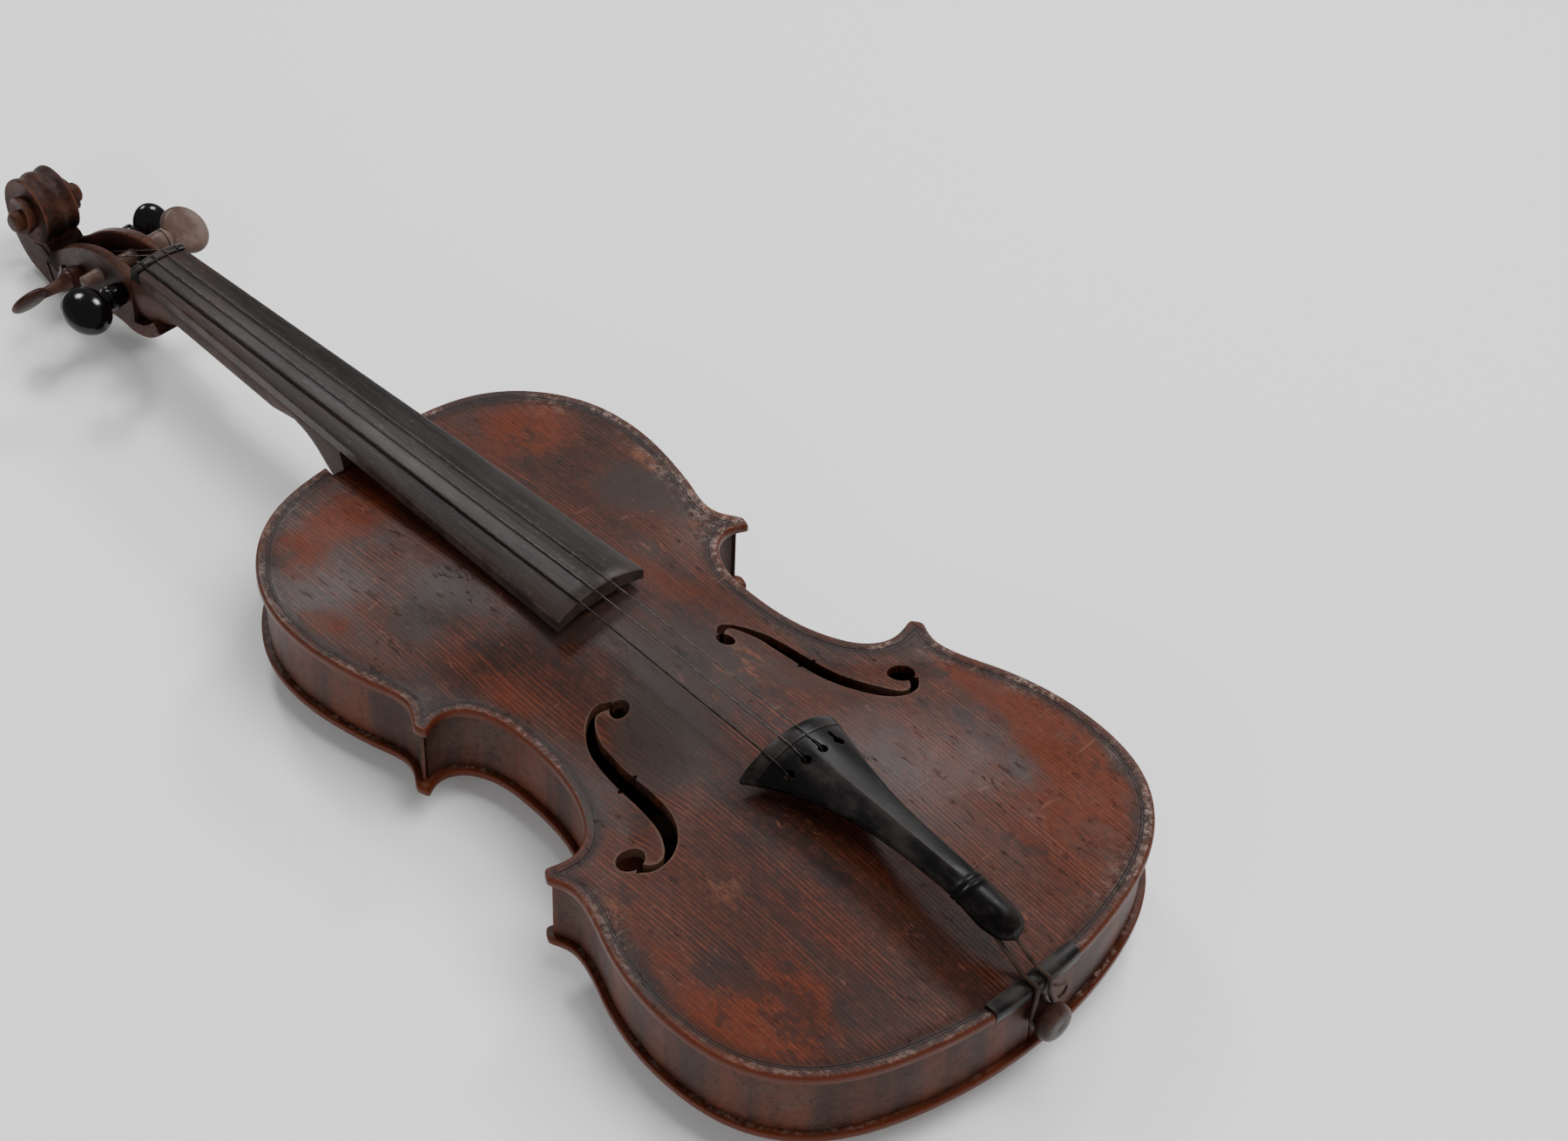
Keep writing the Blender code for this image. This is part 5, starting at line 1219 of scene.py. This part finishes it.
def make_peg(key):
    """One peg with its shaft, ringed collar and head."""
    along, _, side, turn, head = PEG_PLACES[key]
    y, z = peg_axis(key)
    cheek = cheek_half(along)
    collar = cheek + 8.0 if key == "d" else head - 9.5
    tip = -(cheek + (9.0 if key == "e" else 1.6))
    profile = [(start + out, r) for start, turned in (
        (tip, ((0.0, 0.0), (0.0, 1.9), (0.4, 2.5), (1.2, 2.75))),
        (cheek, ((0.5, 3.85), (0.9, 4.4), (1.6, 4.8))),
        (collar, ((-2.9, 5.15), (-2.4, 5.2), (-2.0, 4.6), (-1.6, 4.6), (-1.2, 5.2), (-0.2, 5.2), (0.3, 4.4),
                  (1.6, 3.5), (3.0, 2.8))),
        (head, ((-5.4, 2.0), (-4.8, 0.0)))) for out, r in turned]
    shaft = spun("turned_peg_" + key, [(x * side, r) for x, r in profile])
    pick(shaft, peg_head(key, head * side, turn))
    bpy.ops.object.join()
    shaft.data.transform(Matrix.Translation((0, y * MM, z * MM)))

    def wear(x, y, z):
        return 1.0 if abs(abs(x) - collar) < 1.4 or abs(x) > head + 7.6 else 0.0

    return dress(shaft, *PEG_WOOD[key], body="peg_" + key, nodes=["peg_" + key], marks={"wear": wear})


for key in PEG_PLACES:
    make_peg(key)
print("pegs turned:", sorted(PEG_PLACES))

# %% [markdown]
# ## Tailpiece
# The tailpiece is a long wedge. Its tail is a rounded bulb with a ringed collar, its middle is a ridge with
# two facets, and its head is a broad arch with four keyholes and a low fret, over which the strings leave.

# %% Tailpiece
TAIL_START, TAIL_LENGTH, TAIL_ARCH = 12.6, 112.0, 33.0
TAIL_END = TAIL_START + TAIL_LENGTH
KEYHOLE_Y = TAIL_END - 14.0
TAIL_SHAPE = [(0.0, 0.28, 0.62), (0.004, 0.52, 0.46), (0.012, 0.72, 0.32), (0.028, 0.92, 0.16),
              (0.055, 1.05, 0.04), (0.09, 1.11, 0.0), (0.14, 1.11, 0.0), (0.182, 1.05, 0.0),
              (0.186, 1.08, -0.04), (0.198, 1.09, -0.05), (0.202, 1.04, 0.0), (0.208, 1.04, 0.0),
              (0.212, 1.08, -0.03), (0.224, 1.08, -0.03), (0.228, 1.0, 0.0), (0.34, 1.04, 0.0),
              (0.45, 1.12, 0.0), (0.54, 1.25, 0.0), (0.62, 1.45, 0.0), (0.7, 1.75, 0.0),
              (0.78, 2.12, 0.0), (0.84, 2.44, 0.0), (0.9, 2.8, 0.0),
              (0.96, 3.2, 0.0), (0.992, 3.42, 0.0), (1.0, 3.4, 0.04)]


def tail_crown(y):
    """Crown of the tailpiece along its length."""
    return 25.0 + 4.5 * (y - TAIL_START) / TAIL_LENGTH


def tail_ring(share, width, sink):
    """Section: round at the bulb, ridged in the middle, arched at the head."""
    y = TAIL_START + share * TAIL_LENGTH
    half = min(width * 13.2, 45.5) / 2
    radius = max(TAIL_ARCH * min(1.0, share + 0.15), half * 1.12)
    crown = tail_crown(y) - sink * 6.0
    thick = (4.2 + (1.0 - min(share / 0.5, 1.0)) * 4.0) * (1 - 0.6 * max(sink, 0.0))
    ridge = clamp((share - 0.24) / 0.08) * clamp((0.93 - share) / 0.25)
    edge = crown - radius + math.sqrt(radius ** 2 - half ** 2)
    ring = []
    for x in arched_row(half, 40):
        arch = crown - radius + math.sqrt(radius ** 2 - x * x)
        facet = crown + 0.35 - abs(x) / half * (crown + 0.35 - edge) * (0.72 + 0.28 * abs(x) / half)
        lip = 0.5 * max(0.0, (abs(x) / half - 0.93) / 0.07) ** 2
        ring.append((x, y, arch + (facet - arch) * ridge - lip))
    rim = edge - 1.6
    return ring + [(x, y, rim + (crown - thick - rim) * (1 - (x / half) ** 2)) for x in hollow_row(half)]


def smooth_stations(shape):
    """More stations between the given ones, without changing them."""
    out = []
    for a, b in zip(shape, shape[1:]):
        count = max(1, int((b[0] - a[0]) * 90))
        out += [tuple(np.array(a) + (np.array(b) - np.array(a)) * i / count) for i in range(count)]
    return out + [shape[-1]]


def make_tailpiece():
    """Carved tailpiece with keyholes and their slots."""
    tail = solid("carved_tailpiece", lofted([tail_ring(*s) for s in smooth_stations(TAIL_SHAPE)]))
    for place in PLACES:
        x = place * TAIL_STEP
        cut(tail, "hole", post_shape(x, KEYHOLE_Y, 1.9, -10, 60, 28))
        cut(tail, "slot", box_shape((x - 0.75, KEYHOLE_Y, -10), (x + 0.75, KEYHOLE_Y + 5.4, 60)))

    def wear(x, y, z):
        near_fret = math.exp(-((y - KEYHOLE_Y - 11.5) / 3.0) ** 2) * (0.6 if x < 4 else 0.2)
        rubbed = 0.8 * math.exp(-((x - 2.0) / 8.0) ** 2 - ((y - KEYHOLE_Y + 3) / 9.0) ** 2)
        # The ridge term is a painted highlight: a pale line along the crest. The fret and keyhole terms are
        # rubbed wood.
        ridge = 0.5 * math.exp(-(x / 1.2) ** 2) if KEYHOLE_Y - 70 < y < KEYHOLE_Y - 8 else 0.0
        return min(1.0, near_fret + rubbed + ridge)

    return dress(tail, TAILWOOD, "black_fitting", nodes=["tailpiece"], smooth=38.0, marks={"wear": wear})


def tail_arch(x):
    """Fall of the tailpiece's head away from its crown."""
    return TAIL_ARCH - math.sqrt(TAIL_ARCH ** 2 - x * x)


def fret_shape():
    """The low fret across the tailpiece's head."""
    stop, row, rings = TAIL_END - 4.5, np.linspace(19.6, -19.6, 41), []
    for y, lift in ((stop - 1.7, -0.25), (stop - 1.4, 0.35), (stop - 0.5, 0.35), (stop - 0.2, -0.25)):
        upper = [(x, y, tail_crown(y) - tail_arch(x) + lift) for x in row]
        lower = [(x, y, tail_crown(y) - tail_arch(x) - 1.0) for x in row[::-1]]
        rings.append(upper + lower)
    return lofted(rings)


tail = make_tailpiece()
piece("low_fret", fret_shape(), NUTWOOD, "black_fitting", nodes=["tailpiece_fret"])
print("tailpiece:", len(tail.data.polygons), "faces")

# %% [markdown]
# ## Saddle and end button
# The saddle is a bar of ebony let into the belly's edge, so that the gut doesn't crush the spruce. The button
# is turned, with a waist for the gut and a round face.

# %% Saddle and end button
def saddle_shape():
    """An ebony bar whose outer face follows the tail edge."""
    rings = []
    for x in np.linspace(-20.3, 20.3, 31):
        front = read_off(abs(x), LOWER) - 0.12
        rings.append([(x, front + 0.2, 0.0), (x, front, 0.6), (x, front, 3.9), (x, front + 0.5, 4.7),
                      (x, front + 1.3, 5.05), (x, 5.9, 5.1), (x, 6.5, 4.8), (x, 6.6, 4.2), (x, 6.6, 0.0)])
    return lofted(rings)


def saddle_wear(x, y, z):
    """Rubbed inner edge, and a chip at the bass end."""
    if (y > 6.3 and z > 4.0) or (x < -19.4 and z > 4.3):
        return 1.0
    return 0.5 if x > 17.5 else 0.0


piece("ebony_saddle", saddle_shape(), NUTWOOD, "black_fitting", nodes=["saddle"], smooth=50.0,
      marks={"wear": saddle_wear})
BUTTON_X, BUTTON_DROP = 2.0, 12.5
button = spun("turned_button", [
    (-21.0, 0.0), (-21.0, 2.9), (-2.6, 3.4), (-2.6, 5.4), (-1.9, 5.5), (-1.4, 4.6), (-0.6, 4.4), (1.4, 4.4),
    (2.2, 5.2), (2.9, 6.6), (3.9, 7.3), (5.2, 7.4), (6.9, 7.1), (7.9, 6.6), (8.5, 5.7), (8.7, 4.2),
    (8.7, 2.0), (8.5, 0.9), (8.5, 0.0)])
button.data.transform(Matrix.Translation((BUTTON_X * MM, 0, -BUTTON_DROP * MM))
                      @ Matrix.Rotation(-math.pi / 2, 4, "Z"))


def button_wear(x, y, z):
    """Rubbed ring round the button's face."""
    return 1.0 if y < -7.6 and math.hypot(x - BUTTON_X, z + BUTTON_DROP) > 4.5 else 0.0


dress(button, BUTTON, "brown_fitting", nodes=["end_button"], smooth=45.0, marks={"wear": button_wear})
print("saddle and button made")

# %% [markdown]
# ## Gut and strings
# The tail gut comes out under the bulb, bends over the saddle and loops round the button, where its loose end
# curls up. Three strings are left: a thick wound one and two thin ones. The bridge is missing, so they run
# straight from the tailpiece over the end of the board. Each one is wound on its own peg and turns with it.

# %% Tail gut
def gut_path():
    """One strand over the saddle, round the button and back."""
    half, over, bend = 3.1, PLATE_EDGE + 1.4 + 0.3 + 0.85, 1.25
    under = tail_crown(TAIL_START + 8.0) - 9.4
    one = [(half, TAIL_START + 12, under), (half, TAIL_START + 8, under - 0.6), (half, 6.6, over + 1.0),
           (half, 3.0, over + 0.1)]
    for i in range(5):
        turn = math.radians(90 + 22 * i)
        one.append((half, bend * math.cos(turn), PLATE_EDGE + 1.4 + bend * math.sin(turn)))
    one.append((half + 0.4, -bend, -2.0))
    around = []
    for angle in np.linspace(-20, 200, 17):
        turn = math.radians(angle)
        around.append((BUTTON_X + 5.55 * math.cos(turn), -0.2, -BUTTON_DROP - 5.55 * math.sin(turn)))
    other = [(-x, y, z) for x, y, z in reversed(one)]
    return through(one + around + other, 4)


gut = cord_mesh("gut_loop", gut_path(), 0.85)
dress(gut, GUT, "gut", nodes=["tail_gut"], smooth=60.0, marks={"wear": lambda x, y, z: 0.3})
curl_path = through([(4.6, 0.4, 1.0), (6.4, -1.9, 0.4), (8.8, -2.8, 0.2), (10.9, -2.6, -1.6),
                     (11.6, -2.0, -4.6), (10.4, -1.7, -7.4), (8.2, -1.4, -8.4)], 6)
curl = cord_mesh("gut_curl", curl_path, 0.6)
dress(curl, GUT, "gut", smooth=60.0, marks={"wear": lambda x, y, z: 0.6})
print("gut laid")

# %% Strings and their windings
WINDING_X = {"g": -3.2, "d": -2.2, "a": 1.4}
WINDING_TURNS = 5.5
HELD = {"g": WOUND, "d": PLAIN, "a": PLAIN}


def string_path(key):
    """From the keyhole over the board's end and the nut down to the peg."""
    place, radius = STRINGS[key]
    x0, x1 = place * TAIL_STEP, place * NUT_STEP
    fret_y = TAIL_END - 5.4
    rise = tail_crown(fret_y) + 0.35 - tail_arch(x0) + radius
    surface = tail_crown(KEYHOLE_Y) - tail_arch(x0)
    x_end = x0 + (x1 - x0) * (BOARD_END - fret_y) / (NUT_Y - fret_y)
    half = neck_width(BOARD_END) / 2
    on_board = glue_plane(BOARD_END) + 5.3 + arch_over(x_end, half) + radius + 0.25
    on_nut = glue_plane(NUT_Y) + 5.75 + arch_over(x1, NUT_HALF) + radius + 0.05
    peg_y, peg_z = peg_axis(key)
    return [(x0, KEYHOLE_Y - 0.6, surface - 3.0), (x0, KEYHOLE_Y + 0.8, surface - 0.4),
            (x0, KEYHOLE_Y + 4.6, surface + radius), (x0, fret_y - 0.6, rise), (x0, fret_y + 0.6, rise),
            (x_end, BOARD_END - 0.4, on_board), (x1, NUT_Y + 0.2, on_nut), (x1, NUT_Y + 2.6, on_nut),
            (x1 * 0.98, NUT_Y + 5.4, on_nut - 1.0), (WINDING_X[key], peg_y - 1.9, peg_z + 5.0)]


def winding_path(key):
    """Turns round the peg."""
    peg_y, peg_z = peg_axis(key)
    end = WINDING_TURNS * math.tau
    return [(WINDING_X[key] - 2.3 + 4.6 * t / end, peg_y + 4.3 * math.cos(t), peg_z + 4.3 * math.sin(t))
            for t in np.linspace(0, end, 150)]


for key in STRINGS:
    string = cord_mesh("strung_" + key, string_path(key), STRINGS[key][1])
    dress(string, HELD[key], "string_steel", nodes=["string_" + key], smooth=60.0)
    turns = cord_mesh("turns_" + key, winding_path(key), 0.42)
    dress(turns, WOUND_END if key != "a" else PLAIN, "gut", "peg_" + key, ["winding_" + key], 60.0,
          {"wear": lambda x, y, z: 0.4})
print("strings:", sorted(STRINGS))

# %% [markdown]
# ## Inside
# Blocks, linings, bass bar and sound post are raw spruce. They are seen only through the f holes, so the
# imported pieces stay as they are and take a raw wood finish.

# %% Inside pieces and the end
for name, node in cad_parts.items():
    if node.hide_render:
        continue
    node.data.materials.clear()
    node.data.materials.append(RAW)
    print("raw wood on", name)
